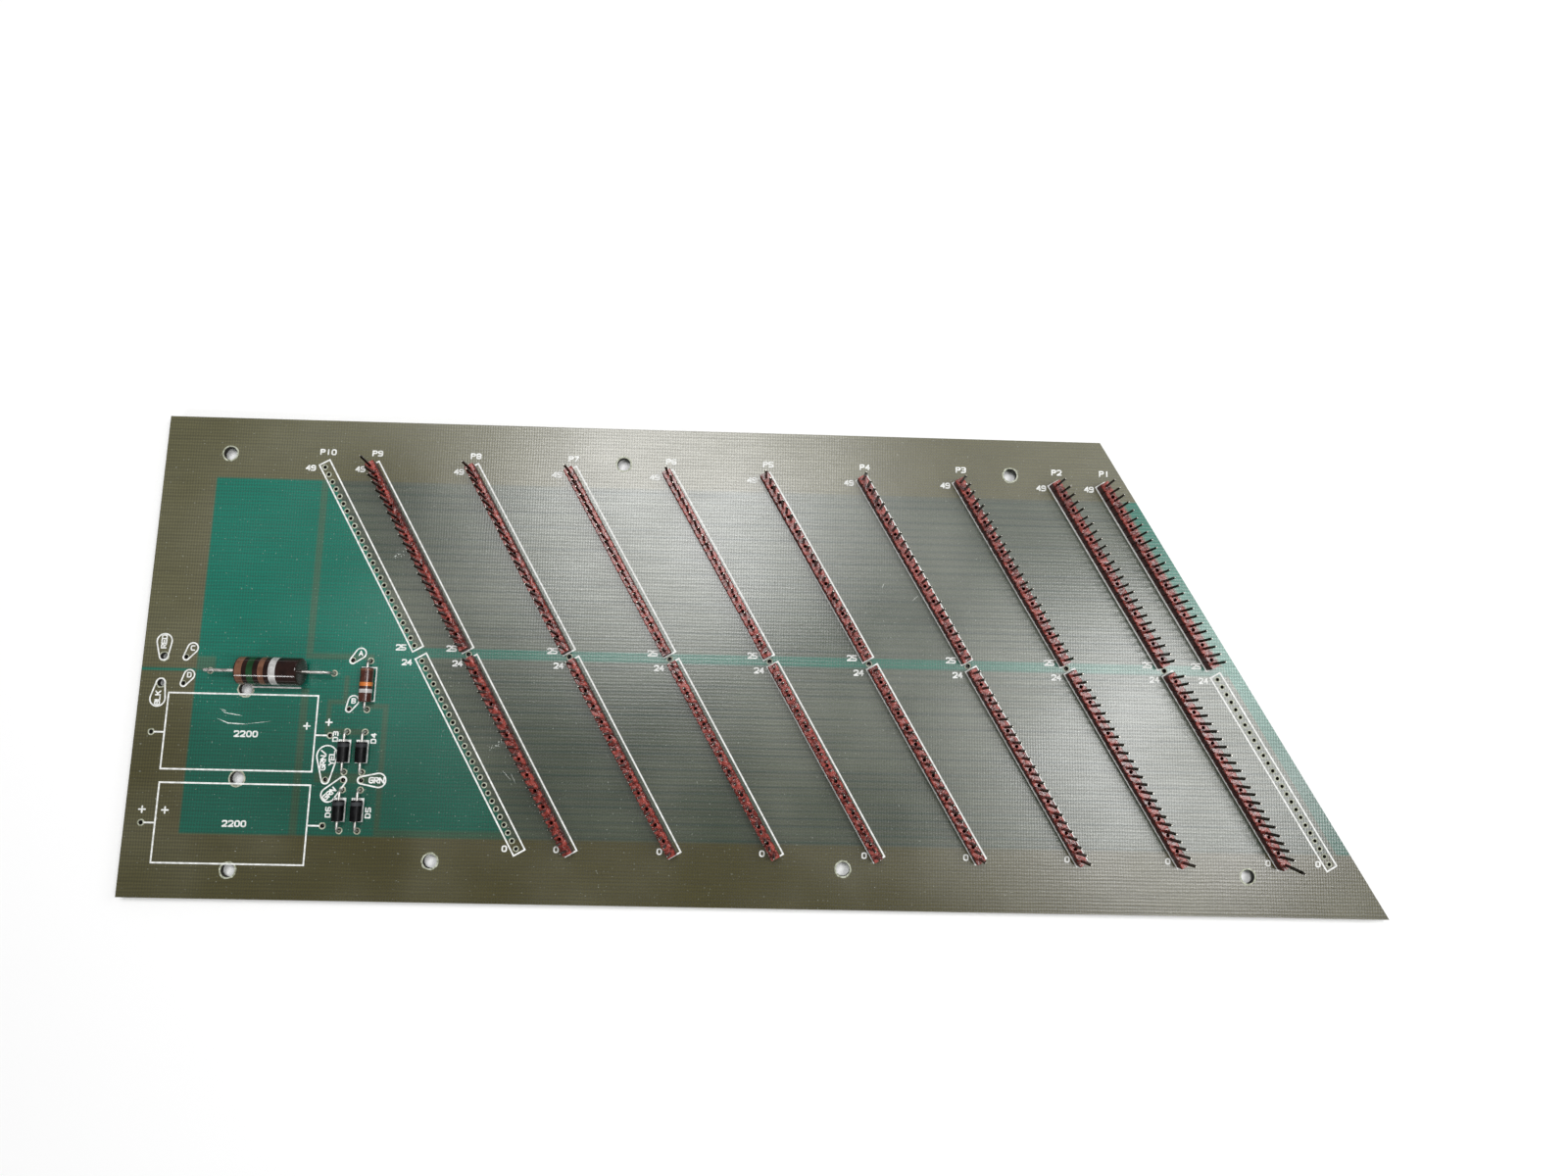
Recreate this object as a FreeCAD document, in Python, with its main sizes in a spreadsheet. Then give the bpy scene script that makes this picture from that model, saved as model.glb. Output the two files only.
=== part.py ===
import FreeCAD, Part
import os
import Sketcher

# Interconnect circuit board: a slanted backplane with ten slots of contact pin positions,
# seventeen pin headers and a small power supply section at its square end.
# The frame has +X along the long edges, +Y across the board and +Z up from the soldered side.
# The origin is below the middle of the outline, in the plane of the solder tips that it lies on.

doc = FreeCAD.newDocument("interconnect_board")
sheet = doc.addObject("Spreadsheet::Sheet", "Sizes")

# Driving dimensions in millimetres and degrees. The outline follows the rows of pins and the
# margins round them. Other places are measured from the square (left) end and the front edge.
SIZES = {
    # laminate sheet
    "board_thickness": 1.6,
    "slant_angle": 30,
    "left_margin": 47.1,
    "back_margin": 14.5,
    "front_margin": 15.215,
    "end_margin": 6.87,
    # slots of contact pins, each an upper and a lower row along the slant
    "pin_pitch": 2.54,
    "pins_per_row": 25,
    "row_gap": 5.08,
    "slot_pitch": 25.4,
    "end_slot_pitch": 12.7,
    # pin headers
    "wafer_width": 2.7,
    "wafer_height": 3.5,
    "wafer_chamfer": 0.25,
    "wafer_gap": 0.1,
    "pin_thickness": 0.64,
    "pin_height": 11.1,
    "pin_point": 0.9,
    # soldered ends below the sheet
    "tail_length": 1.5,
    "joint_width": 1.9,
    # drilled holes, the small ones many-sided with their size across the corners
    "drill_overrun": 1.0,
    "small_hole_sides": 5,
    "pin_hole": 1.05,
    "middle_hole": 1.4,
    "wire_hole": 1.3,
    "lead_clearance": 0.25,
    "supply_wire_hole": 2.2,
    # fixing holes, two rows along the long edges that follow the slant
    "mount_hole": 3.96,
    "mount_from_left": 18.8,
    "mount_from_back": 11.0,
    "mount_from_front": 11.35,
    "mounts_per_row": 3,
    "slots_per_mount": 4,
    # clamp holes and lead holes of two capacitors that aren't fitted
    "clamp_from_left": 30.3,
    "clamp_from_front": 7.9,
    "capacitor_from_left": 4.75,
    "capacitor_from_front": 20.55,
    "capacitor_span": 50.8,
    "capacitor_pitch": 25.4,
    # wire holes at the square end and beside the small parts
    "supply_wire_from_left": 6.0,
    "option_wire_from_left": 12.35,
    "supply_wire_from_front": 59.98,
    "supply_wire_pitch": 7.62,
    "jumper_from_left": 60.3,
    "jumper_from_front": 53.6,
    "jumper_pitch": 14.1,
    "winding_wire_from_left": 55.25,
    "winding_wire_from_front": 33.45,
    "winding_wire_pitch": 5.08,
    # power resistor
    "power_resistor_from_left": 37.42,
    "power_resistor_from_front": 63.8,
    "power_resistor_span": 35.56,
    "power_resistor_length": 17.5,
    "power_resistor_diameter": 7.9,
    "power_resistor_offset": 1.55,
    "power_resistor_lead": 1.0,
    # small resistor
    "small_resistor_from_left": 65.4,
    "small_resistor_from_front": 60.6,
    "small_resistor_span": 14.1,
    "small_resistor_length": 9.8,
    "small_resistor_diameter": 3.6,
    "small_resistor_lead": 0.75,
    # rectifier diodes, two columns of two
    "diode_from_left": 60.35,
    "diode_from_front": 25.03,
    "diode_column_pitch": 5.08,
    "diode_row_pitch": 16.4,
    "diode_span": 11.43,
    "diode_length": 5.8,
    "diode_diameter": 3.2,
    "diode_lead": 0.75,
    # shared by the wire-ended parts
    "body_clearance": 0.3,
    "lead_sides": 6,
    "lead_bend": 0.7,
}
for number, (name, value) in enumerate(SIZES.items(), start=1):
    sheet.set(f"A{number}", name.replace("_", " "))
    sheet.set(f"B{number}", str(value))
    sheet.setAlias(f"B{number}", name)
doc.recompute()

# Heights and steps that several pieces share, as expressions on the sheet
UNDERSIDE = "Sizes.tail_length"
FACE = "(Sizes.tail_length + Sizes.board_thickness)"
SLANT = "Sizes.slant_angle * 1 deg"
ROW_TURN = f"({SLANT} - 90 deg)"
ROW_SPAN = "(Sizes.pin_pitch * (Sizes.pins_per_row - 1))"
LOWER_START = f"({ROW_SPAN} + Sizes.row_gap)"
SLOT_STEP = f"(Sizes.slot_pitch / cos({SLANT}))"
END_SLOT_STEP = f"(Sizes.end_slot_pitch / cos({SLANT}))"
PIN_ROW = (ROW_SPAN, "Sizes.pins_per_row")

# Each slot's distance along X from slot ten. Slots nine to two hold both their headers, and the
# slots at the two ends stand closer to their neighbours.
FULL_SLOTS = [f"p{number}" for number in range(9, 1, -1)]
FULL_SLOTS_SPAN = f"({len(FULL_SLOTS) - 1} * {SLOT_STEP})"
SLOT_PLACES = {"p10": "0"}
for step, slot in enumerate(FULL_SLOTS):
    SLOT_PLACES[slot] = f"({END_SLOT_STEP} + {step} * {SLOT_STEP})"
SLOT_PLACES["p1"] = f"(2 * {END_SLOT_STEP} + {FULL_SLOTS_SPAN})"
EMPTY_ROWS = [("p10", "upper"), ("p10", "lower"), ("p1", "lower")]
FITTED_ROWS = [(slot, half) for slot in FULL_SLOTS for half in ("upper", "lower")] + [("p1", "upper")]

# The outline that the rows and margins give
BOARD_DEPTH = f"(Sizes.back_margin + ({LOWER_START} + {ROW_SPAN}) * cos({SLANT}) + Sizes.front_margin)"
END_SHIFT = f"(({BOARD_DEPTH} - Sizes.back_margin) * tan({SLANT}) + Sizes.end_margin / cos({SLANT}))"
BOARD_LENGTH = f"(Sizes.left_margin + {SLOT_PLACES['p1']} + {END_SHIFT})"


def from_left(text):
    return f"(-{BOARD_LENGTH} / 2 + {text})"


def from_front(text):
    return f"(-{BOARD_DEPTH} / 2 + {text})"


def from_back(text):
    return f"({BOARD_DEPTH} / 2 - {text})"


def along_slot(slot, distance):
    """The place at a distance along a slot from its first pin, as two expressions."""
    x = from_left(f"Sizes.left_margin + {SLOT_PLACES[slot]} + {distance} * sin({SLANT})")
    y = from_back(f"(Sizes.back_margin + {distance} * cos({SLANT}))")
    return x, y


def row_start(slot, half):
    return along_slot(slot, LOWER_START if half == "lower" else "0")


def bind(item, sizes):
    for name, expression in sizes.items():
        item.setExpression(name, expression)


def place(item, x="0", y="0", z="0", turn=None):
    """Bind a piece's place, and its turn about Z where it has one."""
    bind(item, {"Placement.Base.x": x, "Placement.Base.y": y, "Placement.Base.z": z})
    if turn:
        item.Placement.Rotation = FreeCAD.Rotation(FreeCAD.Vector(0, 0, 1), 1)
        item.setExpression("Placement.Rotation.Angle", turn)


def tilt(item, axis, angle):
    item.Placement.Rotation = FreeCAD.Rotation(FreeCAD.Vector(*axis), angle)


def new_body(label):
    body = doc.addObject("PartDesign::Body", label)
    body.AllowCompound = True
    return body


def repeat(body, feature, *runs):
    """Repeat a feature along the body's own X, then its own Y, each run being (length, count)."""
    axes = {item.Role: item for item in body.Origin.OriginFeatures}
    row = body.newObject("PartDesign::LinearPattern", feature.Label + "_row")
    row.Originals = [feature]
    for suffix, role, (length, count) in zip(("", "2"), ("X_Axis", "Y_Axis"), runs):
        setattr(row, "Direction" + suffix, (axes[role], [""]))
        bind(row, {"Length" + suffix: length, "Occurrences" + suffix: count})
    body.Tip = row


def group(label, pieces):
    compound = doc.addObject("Part::Compound", label)
    compound.Links = pieces
    return compound


def bound_polyline(sketch, corners, closed):
    """Straight lines through corners, which are pairs of expressions with no negative value."""
    spots = [FreeCAD.Vector(*(float(sketch.evalExpression(text)) for text in pair), 0) for pair in corners]
    if closed:
        spots.append(spots[0])
    lines = [sketch.addGeometry(Part.LineSegment(*pair)) for pair in zip(spots, spots[1:])]
    joins = list(zip(lines, lines[1:])) + ([(lines[-1], lines[0])] if closed else [])
    for line, following in joins:
        sketch.addConstraint(Sketcher.Constraint("Coincident", line, 2, following, 1))
    ends = [(line, 1) for line in lines] + [(lines[-1], 2)]
    for end, spot, texts in zip(ends, spots, corners):
        for kind, axis, value, text in zip(("DistanceX", "DistanceY"), (-2, -1), spot, texts):
            if text == "0":
                sketch.addConstraint(Sketcher.Constraint("PointOnObject", *end, axis))
            else:
                number = sketch.addConstraint(Sketcher.Constraint(kind, -1, 1, *end, value))
                sketch.setExpression(f"Constraints[{number}]", text)


# Wire-ended parts: where the middle of each lies, how its leads are turned from X, the sizes it
# takes and how far its body sits from the middle of its leads
PARTS = {
    "power_resistor": {
        "x": from_left("Sizes.power_resistor_from_left"),
        "y": from_front("Sizes.power_resistor_from_front"),
        "turn": "0 deg", "sizes": "Sizes.power_resistor", "offset": "Sizes.power_resistor_offset",
    },
    "small_resistor": {
        "x": from_left("Sizes.small_resistor_from_left"),
        "y": from_front("Sizes.small_resistor_from_front"),
        "turn": "90 deg", "sizes": "Sizes.small_resistor", "offset": "0",
    },
}
for name, column, row in (("d3", 0, 1), ("d4", 1, 1), ("d5", 1, 0), ("d6", 0, 0)):
    PARTS[f"diode_{name}"] = {
        "x": from_left(f"Sizes.diode_from_left + {column} * Sizes.diode_column_pitch"),
        "y": from_front(f"Sizes.diode_from_front + {row} * Sizes.diode_row_pitch"),
        "turn": "90 deg", "sizes": "Sizes.diode", "offset": "0",
    }


def first_end(part):
    """The place of a wire-ended part's first hole. Its other hole is one span along its turn."""
    half_span = f"{part['sizes']}_span / 2"
    x = f"{part['x']} - {half_span} * cos({part['turn']})"
    y = f"{part['y']} - {half_span} * sin({part['turn']})"
    return x, y


# The board: one sheet with a square left end and a slanted right end, and the drills for its holes
outline = doc.addObject("Sketcher::SketchObject", "board_outline")
bound_polyline(outline, [
    ("0", "0"),
    (BOARD_LENGTH, "0"),
    (f"{BOARD_LENGTH} - {BOARD_DEPTH} * tan({SLANT})", BOARD_DEPTH),
    ("0", BOARD_DEPTH),
], closed=True)
place(outline, from_left("0"), from_front("0"), UNDERSIDE)
laminate = doc.addObject("Part::Extrusion", "laminate")
laminate.Base = outline
laminate.DirMode = "Normal"
laminate.Solid = True
laminate.setExpression("LengthFwd", "Sizes.board_thickness")
drills = []


def drill(name, size, spot, *runs, turn="0 deg", round_hole=False):
    """A set of drills through the sheet, the first at the spot and the others along its own X and Y."""
    bits = new_body(name)
    bit = bits.newObject("PartDesign::Additive" + ("Cylinder" if round_hole else "Prism"), name + "_bit")
    bit.setExpression("Height", "Sizes.board_thickness + 2 * Sizes.drill_overrun")
    if round_hole:
        bit.setExpression("Radius", f"{size} / 2")
    else:
        bind(bit, {"Circumradius": f"{size} / 2", "Polygon": "Sizes.small_hole_sides"})
    repeat(bits, bit, *runs)
    place(bits, *spot, f"{UNDERSIDE} - Sizes.drill_overrun", turn)
    drills.append(bits)


# Empty pin positions, and one hole between the two rows of each full slot
for slot, half in EMPTY_ROWS:
    drill(f"{slot}_{half}_holes", "Sizes.pin_hole", row_start(slot, half), PIN_ROW, turn=ROW_TURN)
drill("middle_holes", "Sizes.middle_hole", along_slot(FULL_SLOTS[0], f"({ROW_SPAN} + Sizes.row_gap / 2)"),
      (FULL_SLOTS_SPAN, str(len(FULL_SLOTS))))

# Fixing holes near both long edges, and the holes for capacitor clamps
MOUNT_ROW = (f"Sizes.slots_per_mount * {SLOT_STEP} * (Sizes.mounts_per_row - 1)", "Sizes.mounts_per_row")
MOUNT_DROP = f"({BOARD_DEPTH} - Sizes.mount_from_back - Sizes.mount_from_front)"
drill("back_mounts", "Sizes.mount_hole",
      (from_left("Sizes.mount_from_left"), from_back("Sizes.mount_from_back")),
      MOUNT_ROW, round_hole=True)
MOUNT_SHIFT = f"{MOUNT_DROP} * tan({SLANT})"
drill("front_mounts", "Sizes.mount_hole",
      (from_left(f"Sizes.mount_from_left + {MOUNT_SHIFT}"), from_front("Sizes.mount_from_front")),
      MOUNT_ROW, round_hole=True)
drill("clamp_holes", "Sizes.mount_hole",
      (from_left("Sizes.clamp_from_left"), from_front("Sizes.clamp_from_front")),
      ("2 * Sizes.capacitor_pitch", "3"), turn="90 deg", round_hole=True)

# Lead holes of the capacitors, and holes for the supply, option, jumper and winding wires
drill("capacitor_holes", "Sizes.wire_hole",
      (from_left("Sizes.capacitor_from_left"), from_front("Sizes.capacitor_from_front")),
      ("Sizes.capacitor_span", "2"), ("Sizes.capacitor_pitch", "2"))
drill("supply_wire_holes", "Sizes.supply_wire_hole",
      (from_left("Sizes.supply_wire_from_left"), from_front("Sizes.supply_wire_from_front")),
      ("Sizes.supply_wire_pitch", "2"), turn="90 deg")
drill("option_wire_holes", "Sizes.wire_hole",
      (from_left("Sizes.option_wire_from_left"), from_front("Sizes.supply_wire_from_front")),
      ("Sizes.supply_wire_pitch", "2"), turn="90 deg")
drill("jumper_holes", "Sizes.wire_hole",
      (from_left("Sizes.jumper_from_left"), from_front("Sizes.jumper_from_front")),
      ("Sizes.jumper_pitch", "2"), turn="90 deg")
drill("winding_wire_holes", "Sizes.wire_hole",
      (from_left("Sizes.winding_wire_from_left"), from_front("Sizes.winding_wire_from_front")),
      ("2 * Sizes.winding_wire_pitch", "3"))
for name, part in PARTS.items():
    drill(f"{name}_holes", f"({part['sizes']}_lead + 2 * Sizes.lead_clearance)", first_end(part),
          (f"{part['sizes']}_span", "2"), turn=part["turn"])

board = doc.addObject("Part::Cut", "board")
board.Base = laminate
board.Tool = group("drills", drills)
nodes = [board]


# Most rows are two lengths of header set end to end: how many pins the first length holds
FIRST_LENGTHS = {
    ("p9", "upper"): 15, ("p9", "lower"): 11, ("p8", "upper"): 13, ("p8", "lower"): 11,
    ("p7", "upper"): 15, ("p7", "lower"): 15, ("p6", "upper"): 15, ("p6", "lower"): 9,
    ("p5", "upper"): 13, ("p5", "lower"): 15, ("p4", "upper"): 9, ("p4", "lower"): 11,
    ("p3", "upper"): 13, ("p3", "lower"): 11, ("p2", "lower"): 13,
}


def add_wafers(slot, half):
    """The moulded bars that hold one row of pins, a pitch long for each pin but for a hair's gap."""
    wafers = new_body(f"wafer_{slot}_{half}")
    lengths = [("0", "Sizes.pins_per_row")]
    if (slot, half) in FIRST_LENGTHS:
        first = FIRST_LENGTHS[slot, half]
        lengths = [("0", f"{first}"), (f"{first}", f"(Sizes.pins_per_row - {first})")]
    for passed, pins in lengths:
        bar = wafers.newObject("PartDesign::AdditiveBox", f"{wafers.Label}_bar_after_{passed}")
        bind(bar, {
            "Length": f"Sizes.pin_pitch * {pins} - Sizes.wafer_gap",
            "Width": "Sizes.wafer_width",
            "Height": "Sizes.wafer_height",
        })
        place(bar, x=f"Sizes.pin_pitch * ({passed} - 0.5) + Sizes.wafer_gap / 2", y="-Sizes.wafer_width / 2")
        wafers.Tip = bar
    doc.recompute([bar])
    long_top_edges = [
        f"Edge{number}" for number, edge in enumerate(bar.Shape.Edges, start=1)
        if edge.BoundBox.ZMin > 0.5 * sheet.wafer_height and edge.BoundBox.XLength > sheet.wafer_width
    ]
    relief = wafers.newObject("PartDesign::Chamfer", wafers.Label + "_relief")
    relief.Base = (bar, long_top_edges)
    relief.setExpression("Size", "Sizes.wafer_chamfer")
    wafers.Tip = relief
    place(wafers, *row_start(slot, half), FACE, ROW_TURN)
    return wafers


def add_pyramid(body, name, width, height, upward):
    """A four-sided point whose square base is centred on the body's origin."""
    point = body.newObject("PartDesign::AdditiveWedge", name)
    point.Xmin = point.Ymin = point.Zmin = 0
    bind(point, {"Xmax": width, "Zmax": width, "Ymax": height})
    bind(point, {corner: f"{width} / 2" for corner in ("X2min", "X2max", "Z2min", "Z2max")})
    tilt(point, (1, 0, 0), 90 if upward else -90)
    place(point, x=f"-{width} / 2", y=f"{width} / 2" if upward else f"-{width} / 2")
    return point


def add_pins(slot, half):
    """The square posts of one row, standing on their moulding and drawn to a point."""
    pins = new_body(f"pins_{slot}_{half}")
    post = pins.newObject("PartDesign::AdditiveBox", pins.Label + "_post")
    post_height = "(Sizes.pin_height - Sizes.wafer_height - Sizes.pin_point)"
    bind(post, {"Length": "Sizes.pin_thickness", "Width": "Sizes.pin_thickness", "Height": post_height})
    place(post, x="-Sizes.pin_thickness / 2", y="-Sizes.pin_thickness / 2")
    repeat(pins, post, PIN_ROW)
    point = add_pyramid(pins, pins.Label + "_point", "Sizes.pin_thickness", "Sizes.pin_point", upward=True)
    point.setExpression("Placement.Base.z", post_height)
    repeat(pins, point, PIN_ROW)
    place(pins, *row_start(slot, half), f"{FACE} + Sizes.wafer_height", ROW_TURN)
    return pins


for slot, half in FITTED_ROWS:
    nodes.append(add_wafers(slot, half))
    nodes.append(add_pins(slot, half))


def add_body(name, part):
    """The square-ended round body of a resistor or diode, lying on its side just clear of the board."""
    body = new_body(name)
    barrel = body.newObject("PartDesign::AdditiveCylinder", name + "_barrel")
    bind(barrel, {"Radius": f"{part['sizes']}_diameter / 2", "Height": f"{part['sizes']}_length"})
    tilt(barrel, (0, 1, 0), 90)
    place(barrel, x=f"-{part['sizes']}_length / 2 + {part['offset']}")
    axis_height = f"{FACE} + Sizes.body_clearance + {part['sizes']}_diameter / 2"
    place(body, part["x"], part["y"], axis_height, part["turn"])
    return body


def add_lead(name, part, offset, turn):
    """One wire from the end of a body, bent down through its hole to the soldered side."""
    axis_height = f"(Sizes.board_thickness + Sizes.body_clearance + {part['sizes']}_diameter / 2)"
    inner = f"({part['sizes']}_length / 2 + {offset})"
    outer = f"({part['sizes']}_span / 2)"
    route = doc.addObject("Sketcher::SketchObject", name + "_route")
    tilt(route, (1, 0, 0), 90)
    bound_polyline(route, [
        (inner, axis_height),
        (f"{outer} - Sizes.lead_bend", axis_height),
        (outer, f"{axis_height} - Sizes.lead_bend"),
        (outer, "0"),
    ], closed=False)
    section = doc.addObject("Part::RegularPolygon", name + "_section")
    bind(section, {"Polygon": "Sizes.lead_sides", "Circumradius": f"{part['sizes']}_lead / 2"})
    tilt(section, (0, 1, 0), 90)
    place(section, x=inner, z=axis_height)
    wire = doc.addObject("Part::Sweep", name)
    wire.Sections = [section]
    wire.Spine = (route, ["Edge1", "Edge2", "Edge3"])
    wire.Solid = True
    wire.Transition = "Right corner"
    place(wire, part["x"], part["y"], UNDERSIDE, turn)
    return wire


for name, part in PARTS.items():
    nodes.append(add_body(name, part))
    nodes.append(group(f"{name}_leads", [
        add_lead(f"{name}_first_lead", part, part["offset"], part["turn"]),
        add_lead(f"{name}_second_lead", part, f"-{part['offset']}", f"{part['turn']} + 180 deg"),
    ]))


def add_joints(name, spot, run, turn):
    """A row of solder joints, each a point of solder from the underside to the plane it lies on."""
    joints = new_body(name)
    joint = add_pyramid(joints, name + "_joint", "Sizes.joint_width", "Sizes.tail_length", upward=False)
    repeat(joints, joint, run)
    place(joints, *spot, UNDERSIDE, turn)
    return joints


joint_rows = [
    add_joints(f"{slot}_{half}_joints", row_start(slot, half), PIN_ROW, ROW_TURN)
    for slot, half in FITTED_ROWS
]
for name, part in PARTS.items():
    both_ends = (f"{part['sizes']}_span", "2")
    joint_rows.append(add_joints(f"{name}_joints", first_end(part), both_ends, part["turn"]))
nodes.append(group("solder_joints", joint_rows))

# Nothing is written unless every object and every piece is sound
doc.recompute()
for item in doc.Objects:
    if "Invalid" in item.State or "Error" in item.State:
        raise RuntimeError(f"{item.Label} failed to rebuild: {item.State}")
for node in nodes:
    if node.Shape.isNull() or not node.Shape.isValid() or not node.Shape.Solids:
        raise RuntimeError(f"{node.Label} isn't a sound solid")

os.makedirs("parts", exist_ok=True)
for node in nodes:
    node.Shape.exportStep(f"parts/{node.Label}.step")
print(len(nodes), "pieces,", sum(len(node.Shape.Solids) for node in nodes), "solids")
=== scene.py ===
import itertools
import math
import random

import bmesh
import bpy
from mathutils import Matrix, Vector


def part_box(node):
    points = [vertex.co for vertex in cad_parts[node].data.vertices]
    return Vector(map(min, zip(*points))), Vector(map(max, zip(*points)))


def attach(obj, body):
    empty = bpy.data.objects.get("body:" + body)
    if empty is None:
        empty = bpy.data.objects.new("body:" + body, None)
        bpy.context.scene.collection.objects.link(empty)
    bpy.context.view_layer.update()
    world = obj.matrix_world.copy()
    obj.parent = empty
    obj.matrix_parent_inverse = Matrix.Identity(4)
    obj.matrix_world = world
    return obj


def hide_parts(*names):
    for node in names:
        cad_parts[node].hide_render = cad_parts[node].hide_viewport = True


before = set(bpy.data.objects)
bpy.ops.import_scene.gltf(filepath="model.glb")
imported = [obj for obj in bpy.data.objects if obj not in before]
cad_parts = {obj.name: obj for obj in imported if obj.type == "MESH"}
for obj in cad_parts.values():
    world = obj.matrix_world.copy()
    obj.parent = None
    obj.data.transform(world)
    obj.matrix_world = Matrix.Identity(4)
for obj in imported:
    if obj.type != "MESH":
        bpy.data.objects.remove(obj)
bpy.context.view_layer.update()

# The board: a drilled sheet of glass-cloth laminate, copper on its soldered side only, so the copper
# shows brown through the sheet and the bare laminate shows green from the mask behind it.
# It lies on its solder joints and is held at its ringed fixing holes.
MM = 0.001
board_low, board_high = (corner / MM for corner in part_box("board"))
UNDERSIDE = board_low.z
TOP = board_high.z
SLANT = math.radians(30)
ALONG = Vector((math.sin(SLANT), -math.cos(SLANT), 0))
PITCH = 2.54
PINS = 25
LOWER_START = PITCH * (PINS + 1)
SLOT_PITCH = 25.4
SLOT_STEP = SLOT_PITCH / math.cos(SLANT)
LEFT_MARGIN = 47.1
BACK_MARGIN = 14.5
FIRST_PIN = Vector((board_low.x + LEFT_MARGIN, board_high.y - BACK_MARGIN, 0))
# How many slot steps each slot lies from slot ten
SLOTS = {
    "p10": 0, "p9": 0.5, "p8": 1.5, "p7": 2.5, "p6": 3.5,
    "p5": 4.5, "p4": 5.5, "p3": 6.5, "p2": 7.5, "p1": 8,
}
LAST_SLOT = SLOTS["p1"] * SLOT_STEP
EMPTY = [("p10", "upper"), ("p10", "lower"), ("p1", "lower")]


def spot(x, y, z=0.0):
    """A place given from the first pin position in millimetres, in the frame's metres."""
    return (FIRST_PIN + Vector((x, y, z))) * MM


def pin_spot(slot, half, number):
    """Where a pin of a row stands, in millimetres from the first pin position."""
    start = LOWER_START if half == "lower" else 0
    return Vector((SLOTS[slot] * SLOT_STEP, 0, 0)) + ALONG * (start + number * PITCH)


def circle(radius, sides):
    """Points round a circle, anticlockwise from the X axis."""
    turns = [2 * math.pi * i / sides for i in range(sides)]
    return [(radius * math.cos(turn), radius * math.sin(turn)) for turn in turns]


def add_piece(name, mesh, materials, slot, *nodes):
    """Put a mesh into the scene as a piece of the part, in place of its nodes."""
    piece = bpy.data.objects.new(name, mesh)
    bpy.context.scene.collection.objects.link(piece)
    for material in materials:
        mesh.materials.append(material)
    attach(piece, "root")
    if nodes:
        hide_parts(*nodes)
    return piece


def curve_mesh(curve):
    """The mesh of a curve, which is then dropped."""
    carrier = bpy.data.objects.new(curve.name + "_carrier", curve)
    mesh = bpy.data.meshes.new_from_object(carrier)
    bpy.data.objects.remove(carrier)
    bpy.data.curves.remove(curve)
    mesh.materials.clear()
    return mesh


# Where the holes lie, in millimetres from the first pin position
MOUNT_STEP = 4 * SLOT_STEP
MOUNT_SPOTS = [(-28.3 + MOUNT_STEP * i, 3.5) for i in range(3)]
MOUNT_SPOTS += [(39.45 + MOUNT_STEP * i, -113.85) for i in range(3)]
CLAMP_STEP = 25.4
CLAMP_SPOTS = [(-16.8, -66.5 - CLAMP_STEP * i) for i in range(3)]
CAPACITOR_SPOTS = [(x, y) for x in (-42.35, 8.45) for y in (-79.25, -104.65)]
SUPPLY_SPOTS = [(-41.1, -57.6), (-41.1, -65.22)]
WIRE_STEP = 5.08
WIRE_SPOTS = [(-34.75, -57.6), (-34.75, -65.22), (13.2, -57.5), (13.2, -71.6)]
WIRE_SPOTS += [(8.15 + WIRE_STEP * i, -91.75) for i in range(3)]
LEAD_SPOTS = [(-27.46, -61.4), (8.1, -61.4), (18.3, -57.55), (18.3, -71.65)]
LEAD_SPOTS += [(x, y) for x in (13.25, 18.33) for y in (-78.05, -89.49, -94.45, -105.89)]
EMPTY_SPOTS = [pin_spot(slot, half, i)[:2] for slot, half in EMPTY for i in range(PINS)]
MIDDLE_SPOTS = [pin_spot(slot, "upper", PINS)[:2] for slot in SLOTS if slot not in ("p10", "p1")]

# Each kind of hole: its places, its radius, the reach of its pale ring and the sides of its circle
HOLES = [
    (MOUNT_SPOTS + CLAMP_SPOTS, 1.98, 2.45, 40),
    (SUPPLY_SPOTS, 1.1, 1.5, 28),
    (CAPACITOR_SPOTS + LEAD_SPOTS, 0.62, 1.0, 20),
    (WIRE_SPOTS, 0.62, 0.85, 20),
    (EMPTY_SPOTS, 0.52, 0.86, 16),
    (MIDDLE_SPOTS, 0.66, 0.95, 18),
]


def sheet_mesh(name):
    """The outline with all its holes, filled and given its thickness as one curve."""
    curve = bpy.data.curves.new(name, "CURVE")
    curve.dimensions = "2D"
    curve.fill_mode = "BOTH"
    curve.extrude = (TOP - UNDERSIDE) / 2 * MM
    end_shift = (board_high.y - board_low.y) * math.tan(SLANT)
    corners = [(board_low.x, board_low.y), (board_high.x, board_low.y)]
    corners += [(board_high.x - end_shift, board_high.y), (board_low.x, board_high.y)]
    rings = [[Vector(corner) * MM for corner in corners]]
    for spots, radius, _, sides in HOLES:
        for x, y in spots:
            rings.append([spot(x + dx, y + dy) for dx, dy in circle(radius, sides)])
    for ring in rings:
        spline = curve.splines.new("POLY")
        spline.points.add(len(ring) - 1)
        spline.use_cyclic_u = True
        for point, place in zip(spline.points, ring):
            point.co = (place.x, place.y, 0, 1)
    mesh = curve_mesh(curve)
    mesh.name = name
    mesh.transform(Matrix.Translation((0, 0, (TOP + UNDERSIDE) / 2 * MM)))
    return mesh


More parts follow.
